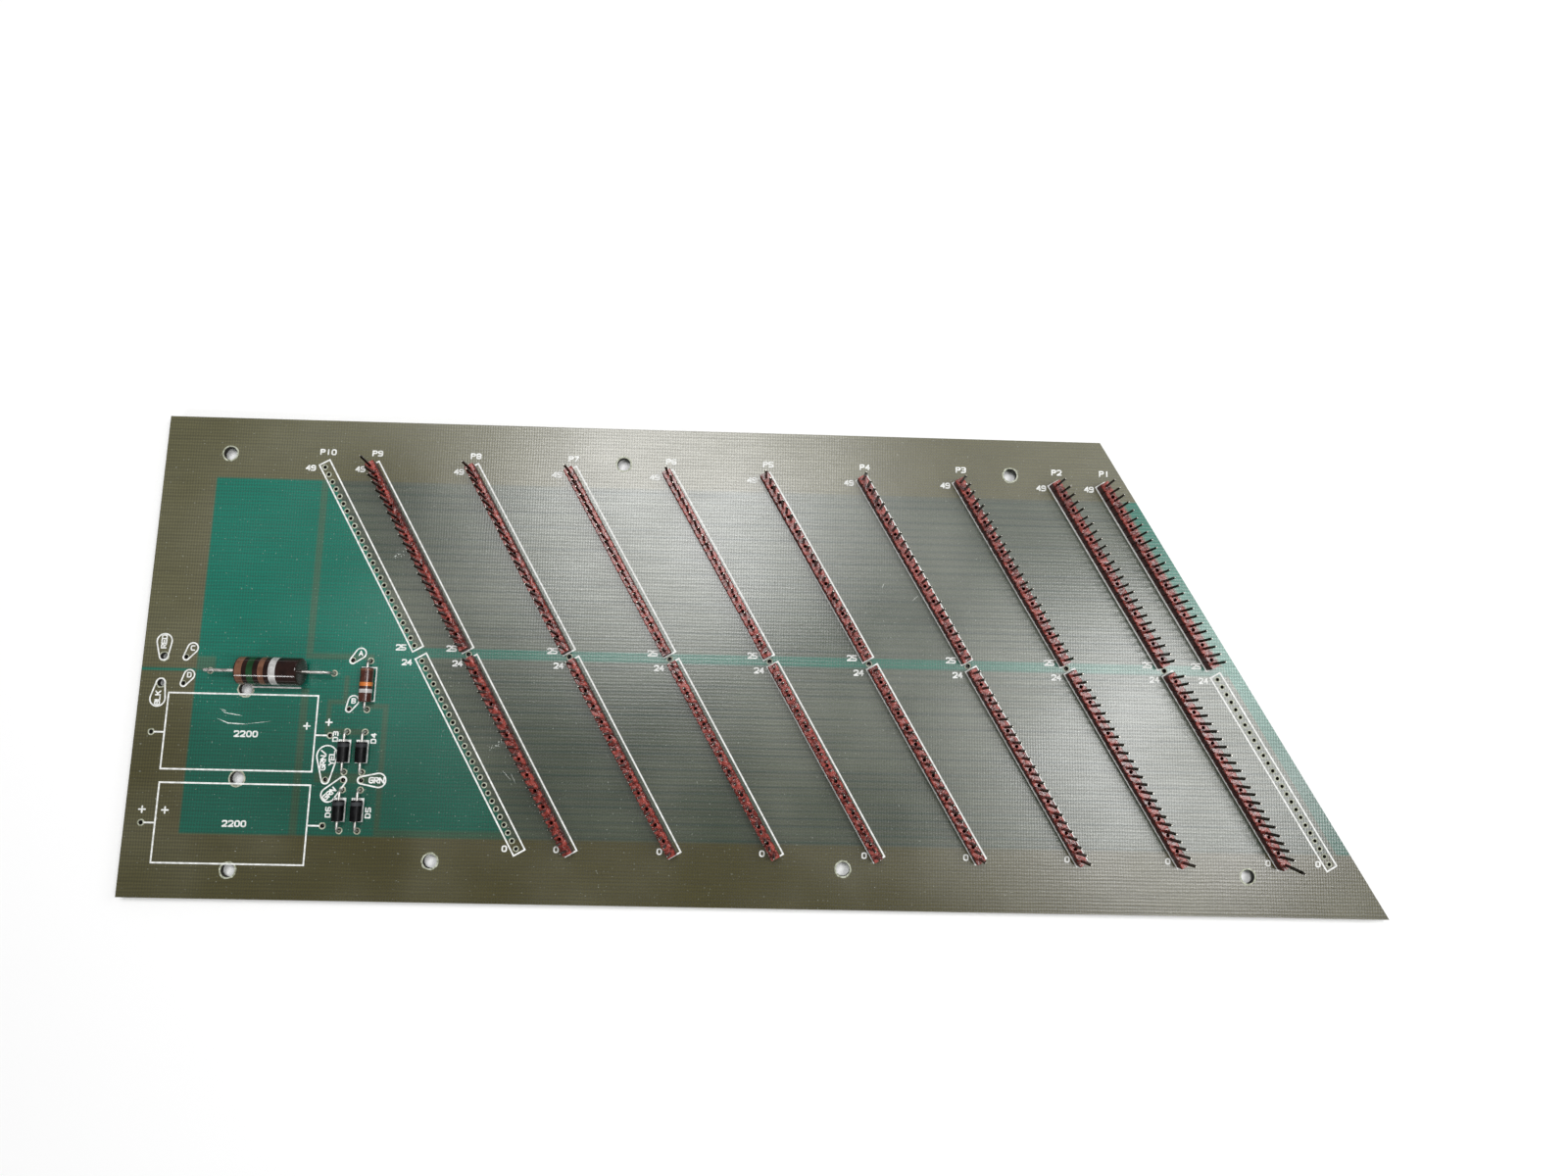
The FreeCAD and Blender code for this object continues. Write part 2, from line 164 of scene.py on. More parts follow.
class Nodes:
    """Short ways to add the shader nodes that a material needs."""

    def __init__(self, name):
        self.material = bpy.data.materials.new(name)
        self.material.use_nodes = True
        self.tree = self.material.node_tree
        self.shader = self.tree.nodes["Principled BSDF"]

    def set(self, **values):
        for socket, value in values.items():
            self.shader.inputs[socket.replace("_", " ")].default_value = value

    def feed(self, target, source):
        if isinstance(source, (int, float)):
            target.default_value = source
        else:
            self.tree.links.new(source, target)

    def link(self, socket, source):
        self.feed(self.shader.inputs[socket], source)

    def math(self, operation, *inputs):
        node = self.tree.nodes.new("ShaderNodeMath")
        node.operation = operation
        for target, source in zip(node.inputs, inputs):
            self.feed(target, source)
        return node.outputs[0]

    def times(self, first, *others):
        """The product of several values."""
        for other in others:
            first = self.math("MULTIPLY", first, other)
        return first

    def ramp(self, value, low, high, start=0.0, end=1.0):
        """Go smoothly from start to end while the value goes from low to high."""
        node = self.tree.nodes.new("ShaderNodeMapRange")
        node.interpolation_type = "SMOOTHSTEP"
        for target, source in zip(node.inputs, (value, low, high, start, end)):
            self.feed(target, source)
        return node.outputs[0]

    def within(self, value, low, high, soft):
        """One between two limits and zero outside, with soft edges."""
        rise = self.ramp(value, low - soft, low + soft)
        fall = self.ramp(value, high - soft, high + soft, 1.0, 0.0)
        return self.times(rise, fall)

    def noise(self, vector, scale, detail=2.0):
        node = self.tree.nodes.new("ShaderNodeTexNoise")
        node.inputs["Scale"].default_value = scale
        node.inputs["Detail"].default_value = detail
        self.tree.links.new(vector, node.inputs["Vector"])
        return node.outputs["Fac"]

    def stretched(self, vector, factors):
        """A place with each of its axes times its own factor."""
        node = self.tree.nodes.new("ShaderNodeVectorMath")
        node.operation = "MULTIPLY"
        self.tree.links.new(vector, node.inputs[0])
        node.inputs[1].default_value = factors
        return node.outputs[0]

    def mix(self, factor, first, second):
        """Blend two colours, each a socket or a plain colour."""
        node = self.tree.nodes.new("ShaderNodeMix")
        node.data_type = "RGBA"
        self.feed(node.inputs[0], factor)
        for target, source in zip((node.inputs[6], node.inputs[7]), (first, second)):
            if isinstance(source, tuple):
                target.default_value = (*source, 1)
            else:
                self.tree.links.new(source, target)
        return node.outputs[2]

    def bump(self, height, strength, distance):
        node = self.tree.nodes.new("ShaderNodeBump")
        node.inputs["Strength"].default_value = strength
        node.inputs["Distance"].default_value = distance
        self.tree.links.new(height, node.inputs["Height"])
        self.tree.links.new(node.outputs[0], self.shader.inputs["Normal"])

    def place(self):
        node = self.tree.nodes.new("ShaderNodeTexCoord")
        return node.outputs["Object"]

    def axes(self, vector):
        node = self.tree.nodes.new("ShaderNodeSeparateXYZ")
        self.tree.links.new(vector, node.inputs[0])
        return node.outputs


# Copper left standing in the bare field beside slot ten: each strip as left, right, front and back
STRIPS = [
    (-31.6, -26.2, -61.3, -57.3), (-0.5, 1.5, -56.0, -4.0), (-0.5, 19.2, -57.3, -55.6),
    (-0.8, 1.3, -108.0, -66.0), (6.9, 8.2, -79.0, -69.0), (6.9, 12.4, -70.3, -69.0),
    (11.2, 12.6, -70.0, -62.0), (18.0, 24.5, -71.4, -69.9), (22.9, 24.5, -106.5, -70.5),
    (22.9, 60.0, -107.4, -105.4), (5.0, 25.0, -92.6, -89.8), (8.0, 19.0, -79.0, -77.2),
]
FIELD_LEFT = -31.5
FIELD_FRONT = -107.4
FIELD_BACK = -4.0
SLOTS_END = LAST_SLOT + 3.5
END_FADE = 0.7
MIDDLE_LINE = (-56.3, -53.4)
SUPPLY_GAP = (-61.65, -60.85)
ROW_STEP = PITCH * math.cos(SLANT)
TRACE_GAP = 0.22


def copper_mask(n, x, y, slot_line, streak, soft, strip_depth, gap_depth, line_depth):
    """Where the sheet is bare of copper, and where the gaps between traces run.

    Places are in millimetres, and slot_line says how far they lie past the line of slot ten.
    """
    rows = n.within(y, FIELD_FRONT, FIELD_BACK, soft)
    past_margin = n.ramp(x, FIELD_LEFT - soft, FIELD_LEFT + soft)
    before_slots = n.ramp(slot_line, -soft, soft, 1.0, 0.0)
    field = n.times(past_margin, before_slots, rows)
    strips = None
    for left, right, front, back in STRIPS:
        strip = n.times(n.within(x, left, right, soft), n.within(y, front, back, soft))
        strips = strip if strips is None else n.math("MAXIMUM", strips, strip)
    field = n.times(field, n.math("MULTIPLY_ADD", strips, -strip_depth, 1.0))
    phase = n.math("FRACT", n.math("MULTIPLY", y, 1 / ROW_STEP))
    gap = n.within(phase, 0.5 - TRACE_GAP / 2, 0.5 + TRACE_GAP / 2, soft / ROW_STEP)
    between = n.within(slot_line, 0, SLOTS_END, soft)
    gaps = n.times(gap, n.ramp(streak, 0.35, 0.6, 0.35 * gap_depth, gap_depth), between, rows)
    middle_line = n.times(n.within(y, *MIDDLE_LINE, soft), n.ramp(slot_line, -soft, soft), line_depth)
    end_field = n.times(n.ramp(slot_line, SLOTS_END, SLOTS_END + END_FADE), rows)
    in_margin = n.ramp(x, FIELD_LEFT - soft, FIELD_LEFT + soft, 1.0, 0.0)
    supply_gap = n.times(n.within(y, *SUPPLY_GAP, soft), in_margin)
    bare = field
    for each in (middle_line, end_field, supply_gap):
        bare = n.math("MAXIMUM", bare, each)
    return bare, gaps


# Threads of the cloth, in millimetres from one to the next and out of line, and the tones that cloud
# the sheet, each with the most of it that shows
WARP_PITCH = 0.78
WEFT_PITCH = 0.98
THREAD_WANDER = 0.5
FIELD_SOFT = 0.5
FRONT_TONES_END = -92
BACK_TONES_START = -46
TRACE_SHADE = (0.012, 0.016, 0.012)
MOST_SHADE = 0.22
COPPER_CLOUD = (0.4, 0.4, 0.3)
MOST_COPPER_CLOUD = 0.12
BARE_CLOUD = (0.01, 0.24, 0.17)
MOST_BARE_CLOUD = 0.15
DUST_TONE = (0.45, 0.48, 0.42)
MOST_DUST = 0.3


def laminate_material(name, copper, traced, bare, gap, soft,
                      strip_depth, gap_depth, line_depth, weave_depth):
    """Glass cloth under clear resin, with the copper and the mask showing through.

    Each colour but that of the gaps between traces is a pair, for the front and the back of the sheet.
    """
    n = Nodes(name)
    place = n.place()
    axes = n.axes(place)
    x = n.math("MULTIPLY_ADD", axes[0], 1 / MM, -FIRST_PIN.x)
    y = n.math("MULTIPLY_ADD", axes[1], 1 / MM, -FIRST_PIN.y)
    slot_line = n.math("MULTIPLY_ADD", y, math.tan(SLANT), x)
    wander = n.math("MULTIPLY", n.math("SUBTRACT", n.noise(place, 90), 0.5), THREAD_WANDER)
    warp = n.math("SINE", n.math("MULTIPLY", n.math("ADD", x, wander), 2 * math.pi / WARP_PITCH))
    weft = n.math("SINE", n.math("MULTIPLY", n.math("ADD", y, wander), 2 * math.pi / WEFT_PITCH))
    thread_tone = n.ramp(n.noise(n.stretched(place, (70, 1100, 1)), 1.0, 2), 0.3, 0.7, -0.25, 0.25)
    weave = n.math("ADD", n.math("MULTIPLY_ADD", warp, 0.5, n.math("MULTIPLY", weft, 0.5)), thread_tone)
    grain = n.noise(place, 2600, 3)
    cloud = n.noise(place, 22, 3)
    streak = n.noise(n.stretched(place, (14, 420, 1)), 1.0, 2)
    toward_back = n.ramp(y, FRONT_TONES_END, BACK_TONES_START)
    bare_mask, gap_mask = copper_mask(
        n, x, y, slot_line, streak, soft, strip_depth, gap_depth, line_depth)
    among_slots = n.within(slot_line, 0, SLOTS_END, FIELD_SOFT)
    in_slots = n.times(among_slots, n.within(y, FIELD_FRONT, FIELD_BACK, FIELD_SOFT))
    copper_colour = n.mix(in_slots, n.mix(toward_back, *copper), n.mix(toward_back, *traced))
    streak_shade = n.times(n.ramp(streak, 0.3, 0.7), in_slots, MOST_SHADE)
    copper_colour = n.mix(streak_shade, copper_colour, TRACE_SHADE)
    copper_clouding = n.ramp(cloud, 0.35, 0.7, 0.0, MOST_COPPER_CLOUD)
    copper_colour = n.mix(copper_clouding, copper_colour, COPPER_CLOUD)
    bare_colour = n.mix(toward_back, *bare)
    bare_colour = n.mix(n.ramp(cloud, 0.35, 0.7, 0.0, MOST_BARE_CLOUD), bare_colour, BARE_CLOUD)
    colour = n.mix(bare_mask, n.mix(gap_mask, copper_colour, gap), bare_colour)
    thread = n.math("MULTIPLY_ADD", weave, weave_depth, n.math("MULTIPLY_ADD", grain, 0.3, 0.35))
    colour = n.mix(n.ramp(thread, 0.0, 1.0, 0.5, 0.0), colour, (0.0, 0.0, 0.0))
    dust = n.ramp(n.noise(place, 1300, 1), 0.70, 0.78, 0.0, MOST_DUST)
    n.link("Base Color", n.mix(dust, colour, DUST_TONE))
    gloss = n.math("MULTIPLY_ADD", cloud, 0.5, n.math("MULTIPLY", grain, 0.5))
    n.link("Roughness", n.ramp(n.math("MULTIPLY_ADD", weave, -0.12, gloss), 0.2, 0.85, 0.17, 0.38))
    n.bump(n.math("MULTIPLY_ADD", grain, 0.6, weave), 0.2, 0.00003)
    n.set(IOR=1.62)
    return n.material


PLY = 0.2


def edge_material():
    """Sawn laminate: plies of pale fibres, one over another."""
    n = Nodes("laminate_edge")
    place = n.place()
    plies = n.math("SINE", n.math("MULTIPLY", n.axes(place)[2], 2 * math.pi / (PLY * MM)))
    fibres = n.math("MULTIPLY_ADD", plies, 0.25, n.noise(place, 1400, 3))
    n.link("Base Color", n.mix(n.ramp(fibres, 0.2, 0.9), (0.10, 0.10, 0.05), (0.36, 0.35, 0.24)))
    n.link("Roughness", n.ramp(fibres, 0.2, 0.8, 0.55, 0.8))
    n.bump(fibres, 0.4, 0.00005)
    return n.material


def speckled_material(name, dark, light, low, high, scale, bump=0.2, specular=0.5):
    """A finish of two close tones, with its gloss from low to high and a fine grain."""
    n = Nodes(name)
    speckle = n.noise(n.place(), scale, 3)
    n.link("Base Color", n.mix(n.ramp(speckle, 0.3, 0.7), dark, light))
    n.link("Roughness", n.ramp(speckle, 0.3, 0.7, low, high))
    n.bump(speckle, bump, 0.00004)
    n.set(Specular_IOR_Level=specular)
    return n.material


top_face = laminate_material(
    "laminate_top",
    copper=((0.072, 0.064, 0.022), (0.128, 0.121, 0.062)),
    traced=((0.070, 0.085, 0.055), (0.110, 0.128, 0.093)),
    bare=((0.010, 0.098, 0.063), (0.006, 0.180, 0.122)), gap=(0.016, 0.048, 0.042),
    soft=0.45, strip_depth=0.4, gap_depth=0.62, line_depth=0.75, weave_depth=0.36,
)
MASKED_COPPER = (0.10, 0.16, 0.035)
MASKED_LAMINATE = (0.012, 0.07, 0.035)
under_face = laminate_material(
    "laminate_mask",
    copper=(MASKED_COPPER, MASKED_COPPER), traced=(MASKED_COPPER, MASKED_COPPER),
    bare=(MASKED_LAMINATE, MASKED_LAMINATE), gap=MASKED_LAMINATE,
    soft=0.05, strip_depth=1.0, gap_depth=1.0, line_depth=1.0, weave_depth=0.08,
)
# The walls of the holes are drawn near black, far darker than the sawn edge of the same laminate: painted
# shade inside the holes.
hole_wall_painted_shade = speckled_material(
    "hole_wall_painted_shade", (0.010, 0.009, 0.006), (0.030, 0.027, 0.018), 0.6, 0.85, 1500)
sheet = sheet_mesh("circuit_board")
sheet_finishes = [top_face, under_face, edge_material(), hole_wall_painted_shade]
add_piece("circuit_board", sheet, sheet_finishes, "laminate", "board")
TOP_FINISH, UNDER_FINISH, EDGE_FINISH, HOLE_SHADE_FINISH = range(4)
LONGEST_HOLE_FACE = 1.0 * MM
for face in sheet.polygons:
    if abs(face.normal.z) > 0.5:
        face.material_index = TOP_FINISH if face.normal.z > 0 else UNDER_FINISH
    else:
        corners = [sheet.vertices[number].co for number in face.vertices]
        width = max(corner.x for corner in corners) - min(corner.x for corner in corners)
        depth = max(corner.y for corner in corners) - min(corner.y for corner in corners)
        face.material_index = HOLE_SHADE_FINISH if max(width, depth) < LONGEST_HOLE_FACE else EDGE_FINISH


# Ringed holes: the drill lifts the resin round each hole, which leaves a pale ring in the sheet.
# The rings are part of the sheet, and nothing is fixed in the empty holes.
RING_LEVEL = TOP + 0.012
RING_SIDES = 28
RING_WANDER = 0.10


def mesh_from(name, build, flat=False):
    """A new mesh that the build function fills. The faces of a flat one all look up."""
    bm = bmesh.new()
    build(bm)
    bmesh.ops.recalc_face_normals(bm, faces=bm.faces)
    if flat:
        bmesh.ops.reverse_faces(bm, faces=[face for face in bm.faces if face.normal.z < 0])
    mesh = bpy.data.meshes.new(name)
    bm.to_mesh(mesh)
    bm.free()
    return mesh


def build_rings(bm):
    """Flat rings whose outer rims wander a little."""
    for spots, inner, outer, _ in HOLES:
        for x, y in spots:
            rims = []
            for radius, wander in ((inner, 0.0), (outer, RING_WANDER)):
                scales = [1 + wander * (dice.random() - 0.5) for _ in range(RING_SIDES)]
                rim = zip(circle(radius, RING_SIDES), scales)
                places = [(x + dx * scale, y + dy * scale) for (dx, dy), scale in rim]
                rims.append([bm.verts.new(spot(*place, RING_LEVEL)) for place in places])
            for i in range(RING_SIDES):
                bm.faces.new((rims[0][i - 1], rims[0][i], rims[1][i], rims[1][i - 1]))


dice = random.Random(7)
crazed_resin = speckled_material(
    "crazed_resin", (0.20, 0.21, 0.14), (0.50, 0.52, 0.42), 0.4, 0.6, 1500)
add_piece("hole_rings", mesh_from("hole_rings", build_rings, flat=True), [crazed_resin], "laminate")


# Printed legend: white ink screened on the upper face, with a box round each row of pins, the
# outlines of the capacitors and diodes, loops round the wire holes with the colours of their wires,
# the names of the slots and diodes, and the numbers of the pins at the ends of the rows.
INK_LEVEL = TOP + 0.03
INK_STEP = 0.004
LINE_WIDTH = 0.46
ink_layers = itertools.cycle(range(6))
LEAST_MITRE = 0.4
ROUND_END_STEPS = 6


def add_line(bm, points, closed=False, width=LINE_WIDTH):
    """A flat ink line through points in millimetres, mitred at its corners and round at its ends.

    Each line lies a little higher than the one before, so that no two share a face where they cross.
    """
    level = INK_LEVEL + INK_STEP * next(ink_layers)
    places = [Vector((*point, 0)) for point in points]
    count = len(places)
    left, right = [], []
    for i, place in enumerate(places):
        ways = []
        if closed or i > 0:
            ways.append((place - places[i - 1]).normalized())
        if closed or i < count - 1:
            ways.append((places[(i + 1) % count] - place).normalized())
        mean = sum(ways, Vector()).normalized()
        side = Vector((-mean.y, mean.x, 0)) * (width / 2 / max(mean.dot(ways[0]), LEAST_MITRE))
        left.append(bm.verts.new(spot(*(place + side)[:2], level)))
        right.append(bm.verts.new(spot(*(place - side)[:2], level)))
    for i in range(count if closed else count - 1):
        j = (i + 1) % count
        bm.faces.new((left[i], right[i], right[j], left[j]))
    if closed:
        return
    for end, before in ((places[0], places[1]), (places[-1], places[-2])):
        way = (end - before).normalized() * (width / 2)
        side = Vector((-way.y, way.x, 0))
        turns = [math.pi * k / ROUND_END_STEPS for k in range(ROUND_END_STEPS + 1)]
        rim = [end + side * math.cos(turn) + way * math.sin(turn) for turn in turns]
        bm.faces.new([bm.verts.new(spot(*place[:2], level)) for place in rim])


LOOP_WIDTH = 0.42
LOOP_STEPS = 14


def add_loop(bm, small, small_radius, big, big_radius):
    """A drop-shaped loop round a small and a big circle."""
    a, b = Vector((*small, 0)), Vector((*big, 0))
    way = b - a
    lean = math.acos((small_radius - big_radius) / way.length)
    heading = math.atan2(way.y, way.x)
    arcs = ((a, small_radius, lean, 2 * math.pi - lean), (b, big_radius, -lean, lean))
    points = []
    for centre, radius, start, end in arcs:
        for i in range(LOOP_STEPS + 1):
            turn = heading + start + (end - start) * i / LOOP_STEPS
            points.append((centre.x + radius * math.cos(turn), centre.y + radius * math.sin(turn)))
    add_line(bm, points, closed=True, width=LOOP_WIDTH)


HALVES = ("upper", "lower")
ACROSS = Vector((math.cos(SLANT), math.sin(SLANT), 0))
# How far the sides of each row's box lie from its pins, and where they aren't the usual ones
BOX_END = 1.4
USUAL_SIDES = (-1.4, 2.15)
ROW_SIDES = {
    ("p10", "upper"): (-1.2, 2.2), ("p10", "lower"): (-1.45, 2.1), ("p1", "lower"): (-1.65, 1.7),
    ("p1", "upper"): (-1.6, 1.6), ("p8", "upper"): (-1.35, 2.45), ("p8", "lower"): (-1.35, 2.45),
    ("p7", "upper"): (-1.2, 2.5), ("p7", "lower"): (-1.2, 2.4), ("p2", "upper"): (-1.55, 2.1),
}
# Capacitor outlines as left, right, back, front and the line of their leads
CAPACITORS = [(-38.6, 4.15, -68.0, -89.6, -79.25), (-38.4, 4.15, -93.4, -115.6, -104.65)]
CAPACITOR_LEADS = (-41.4, 7.4)
PLUS_SIGNS = [(1.6, -76.7), (7.8, -75.5), (-42.4, -101.0), (-36.0, -101.1)]
PLUS_REACH = 0.85
# Loops that join a wire hole to its letter: small circle, its radius, big circle, its radius
LOOPS = [
    ((-41.2, -57.4), 1.25, (-41.4, -53.2), 2.15), ((-41.2, -65.2), 1.25, (-41.6, -69.8), 2.15),
    ((-34.75, -57.7), 0.85, (-33.1, -55.0), 1.5), ((-34.75, -65.3), 0.85, (-33.3, -62.8), 1.5),
    ((13.1, -57.6), 0.85, (15.3, -55.4), 1.5), ((13.1, -71.6), 0.85, (14.3, -69.2), 1.5),
    ((8.15, -91.8), 1.1, (8.1, -85.0), 2.9), ((13.2, -91.8), 1.0, (9.3, -96.0), 2.0),
    ((18.3, -91.7), 1.0, (23.3, -91.65), 2.0),
]
# Diode outlines as the line that they are set out from, back and front, with a bar near each back
DIODE_MARKS = [(x, *ends) for ends in ((-80.5, -86.7), (-96.9, -103.2)) for x in (14.2, 19.3)]
DIODE_SIDES_FROM_LINE = (-3.0, 0.2)
DIODE_MARK_WIDTH = 0.4
BAR_FROM_LINE = (-1.9, -0.7)
BAR_FROM_BACK = 0.9
BAR_WIDTH = 1.9
SMALL_RESISTOR_MARK = [(16.0, -59.5), (20.2, -59.5), (20.2, -69.2), (16.0, -69.2)]
SMALL_MARK_WIDTH = 0.35
POWER_RESISTOR_MARK = [(-15.0, -65.85), (-1.2, -65.85)]
POWER_MARK_WIDTH = 0.45


def build_lines(bm):
    for slot in SLOTS:
        for half in HALVES:
            low, high = ROW_SIDES.get((slot, half), USUAL_SIDES)
            first = pin_spot(slot, half, 0) - ALONG * BOX_END
            last = pin_spot(slot, half, PINS - 1) + ALONG * BOX_END
            box = [first + ACROSS * low, last + ACROSS * low]
            box += [last + ACROSS * high, first + ACROSS * high]
            add_line(bm, [corner[:2] for corner in box], closed=True)
    for left, right, back, front, leads in CAPACITORS:
        add_line(bm, [(left, back), (right, back), (right, front), (left, front)], closed=True)
        add_line(bm, [(left, leads), (CAPACITOR_LEADS[0], leads)])
        add_line(bm, [(right, leads), (CAPACITOR_LEADS[1], leads)])
    for x, y in PLUS_SIGNS:
        add_line(bm, [(x - PLUS_REACH, y), (x + PLUS_REACH, y)])
        add_line(bm, [(x, y - PLUS_REACH), (x, y + PLUS_REACH)])
    for loop in LOOPS:
        add_loop(bm, *loop)
    for x, back, front in DIODE_MARKS:
        left, right = (x + side for side in DIODE_SIDES_FROM_LINE)
        outline = [(left, back), (right, back), (right, front), (left, front)]
        add_line(bm, outline, closed=True, width=DIODE_MARK_WIDTH)
        add_line(bm, [(x + end, back - BAR_FROM_BACK) for end in BAR_FROM_LINE], width=BAR_WIDTH)
    add_line(bm, SMALL_RESISTOR_MARK, closed=True, width=SMALL_MARK_WIDTH)
    add_line(bm, POWER_RESISTOR_MARK, width=POWER_MARK_WIDTH)


# Letters as pen strokes on a grid four wide and six high, each pair of digits a corner to round off.
# The other sizes are shares of a letter's height, and the rounding is a share of its width that never
# takes more of a stroke than it can share with the next corner.
GLYPHS = {
    "0": ["00 40 46 06 00"], "1": ["20 26"], "2": ["05 06 46 43 00", "00 40"],
    "3": ["06 46 43 13", "13 43 40 00"], "4": ["30 36", "36 02", "02 42"],
    "5": ["46 06", "06 03", "03 43 40 00"], "6": ["46 06 00 40 43 13", "13 03"],
    "7": ["06 46", "46 10"],
    "8": ["03 43 46 06 03", "03 43 40 00 03"], "9": ["00 40 46 06 03 33", "33 43"],
    "A": ["00 26", "26 40", "12 32"], "B": ["00 06", "06 46 43 03", "03 43 40 00"],
    "C": ["46 06 00 40"], "D": ["00 06", "06 46 40 00"], "E": ["46 06", "06 00", "00 40", "03 33"],
    "G": ["46 06 00 40 43", "43 23"], "K": ["00 06", "46 02", "14 40"], "L": ["06 00", "00 40"],
    "N": ["00 06", "06 40", "40 46"], "P": ["00 06", "06 46 43 03"],
    "R": ["00 06", "06 46 43 03", "13 40"], "Y": ["06 23", "46 23", "23 20"], "/": ["00 46"],
}
GRID = (4, 6)
LETTER_WIDTH = 0.62
PEN_WIDTH = 0.225
LETTER_ROUNDING = 0.42
MOST_OF_STROKE = 0.48
ROUNDING_STEPS = 5


def rounded(corners, radius, closed):
    """Points along straight runs whose corners are drawn round."""
    count = len(corners)
    points = []
    for i, corner in enumerate(corners):
        if not closed and i in (0, count - 1):
            points.append(corner)
            continue
        before, after = corners[i - 1] - corner, corners[(i + 1) % count] - corner
        start = corner + before.normalized() * min(radius, before.length * MOST_OF_STROKE)
        end = corner + after.normalized() * min(radius, after.length * MOST_OF_STROKE)
        for k in range(ROUNDING_STEPS + 1):
            u = k / ROUNDING_STEPS
            points.append(start * (1 - u) ** 2 + corner * (2 * u * (1 - u)) + end * u ** 2)
    return points


def add_text(bm, words, x, y, height, turn, step):
    """Ink lettering about a middle point, with its height and letter step in millimetres."""
    wide, pen = height * LETTER_WIDTH, height * PEN_WIDTH
    tall = height - pen
    spin = Matrix.Rotation(math.radians(turn), 2)
    for number, letter in enumerate(words):
        middle = (number - (len(words) - 1) / 2) * step
        for stroke in GLYPHS[letter]:
            corners = []
            for across, up in stroke.split():
                right = middle + (int(across) / GRID[0] - 0.5) * wide
                corners.append(spin @ Vector((right, (int(up) / GRID[1] - 0.5) * tall)))
            closed = corners[0] == corners[-1]
            points = rounded(corners[:-1] if closed else corners, wide * LETTER_ROUNDING, closed)
            add_line(bm, [(x + point.x, y + point.y) for point in points], closed, pen)


# The marks beside the first and last pin of each row: row, pin, words and shift from the pin
PIN_MARKS = [
    ("upper", 0, "49", -4.2, -0.3), ("upper", PINS - 1, "25", -3.8, -0.6),
    ("lower", 0, "24", -4.3, -0.5), ("lower", PINS - 1, "0", -3.3, 0.0),
]
# The height of these marks and of the slot names, their letter steps, and where the names stand from
# the first pin of their slot
MARK_HEIGHT = 1.85
PIN_MARK_STEP = 1.5
NAME_STEP = 1.65
NAME_SHIFT = 0.6
NAME_BACK = 4.7
# Other words: where their middle lies, their height, turn and letter step
WORDS = [
    ("2200", -15.5, -79.3, 1.9, 0, 1.75), ("2200", -16.3, -104.5, 1.9, 0, 1.75),
    ("RED", -41.5, -53.3, 1.7, 90, 1.35), ("BLK", -41.6, -69.6, 1.7, 90, 1.4),
    ("C", -33.1, -55.0, 1.6, 0, 1.6), ("D", -33.3, -62.8, 1.6, 0, 1.6),
    ("A", 15.3, -55.4, 1.6, 0, 1.6), ("B", 14.3, -69.2, 1.6, 0, 1.6),
    ("GRN/", 7.1, -86.3, 1.75, 90, 1.45), ("YEL", 9.5, -85.6, 1.75, 90, 1.45),
    ("GRN", 9.6, -95.7, 1.75, 45, 1.45), ("GRN", 22.7, -91.65, 1.8, 0, 1.5),
    ("D3", 10.0, -79.5, 1.7, 90, 1.6), ("D4", 20.9, -79.8, 1.7, 90, 1.6),
    ("D6", 9.75, -100.8, 1.7, 90, 1.65), ("D5", 21.0, -100.8, 1.7, 90, 1.65),
]


def build_words(bm):
    for slot in SLOTS:
        name_x = pin_spot(slot, "upper", 0).x + NAME_SHIFT
        add_text(bm, slot.upper(), name_x, NAME_BACK, MARK_HEIGHT, 0, NAME_STEP)
        for half, number, words, dx, dy in PIN_MARKS:
            pin = pin_spot(slot, half, number)
            add_text(bm, words, pin.x + dx, pin.y + dy, MARK_HEIGHT, 0, PIN_MARK_STEP)
    for word in WORDS:
        add_text(bm, *word)


ink = speckled_material("white_ink", (0.62, 0.63, 0.60), (0.90, 0.91, 0.89), 0.45, 0.65, 900)
add_piece("legend_lines", mesh_from("legend_lines", build_lines, flat=True), [ink], "laminate")
add_piece("legend_words", mesh_from("legend_words", build_words, flat=True), [ink], "laminate")


# Scratches and flecks: places where a tool has skidded on the sheet and lifted the resin to a white
# haze, with loose dust that has settled between the rows. They lie in the face of the sheet.
SCRATCHES = [
    ([(-23.6, -72.2), (-22.0, -73.4), (-16.9, -74.2)], 0.34),
    ([(-22.9, -72.3), (-21.6, -73.1)], 0.2),
    ([(-24.2, -75.0), (-21.0, -76.3), (-15.2, -76.6)], 0.5),
    ([(-16.5, -76.6), (-8.4, -75.5)], 0.14),
    ([(58.2, -88.0), (61.0, -91.0)], 0.13),
    ([(60.6, -88.6), (62.4, -92.0)], 0.12),
    ([(168.2, -30.6), (167.4, -32.4)], 0.13),
    ([(176.3, -36.0), (178.4, -34.2)], 0.14),
]
FLECKS = [(23.2, -26.6), (24.4, -25.8), (25.6, -24.9), (54.6, -81.8), (56.4, -81.0), (57.8, -80.4)]
FLECKS_AT_ONCE = 7
FLECK_SPREAD = (0.55, 0.4)
FLECK_SIZES = (0.08, 0.26)
FLECK_SIDES = 6
DUST_COUNT = 420
DUST_SIZES = (0.05, 0.12)
DUST_LEFT = -45
DUST_PAST_SLOTS = 3
DUST_DEPTH = (-123, 12)
SCRATCH_LEVEL = TOP + 0.02
SCRATCH_STEP = 0.35
SCRATCH_WANDER = 0.05
BLUNT_END = 0.3
# The least and the most of their size that ragged edges keep
SCRATCH_EDGE = (0.45, 1.0)
FLECK_EDGE = (0.5, 1.0)


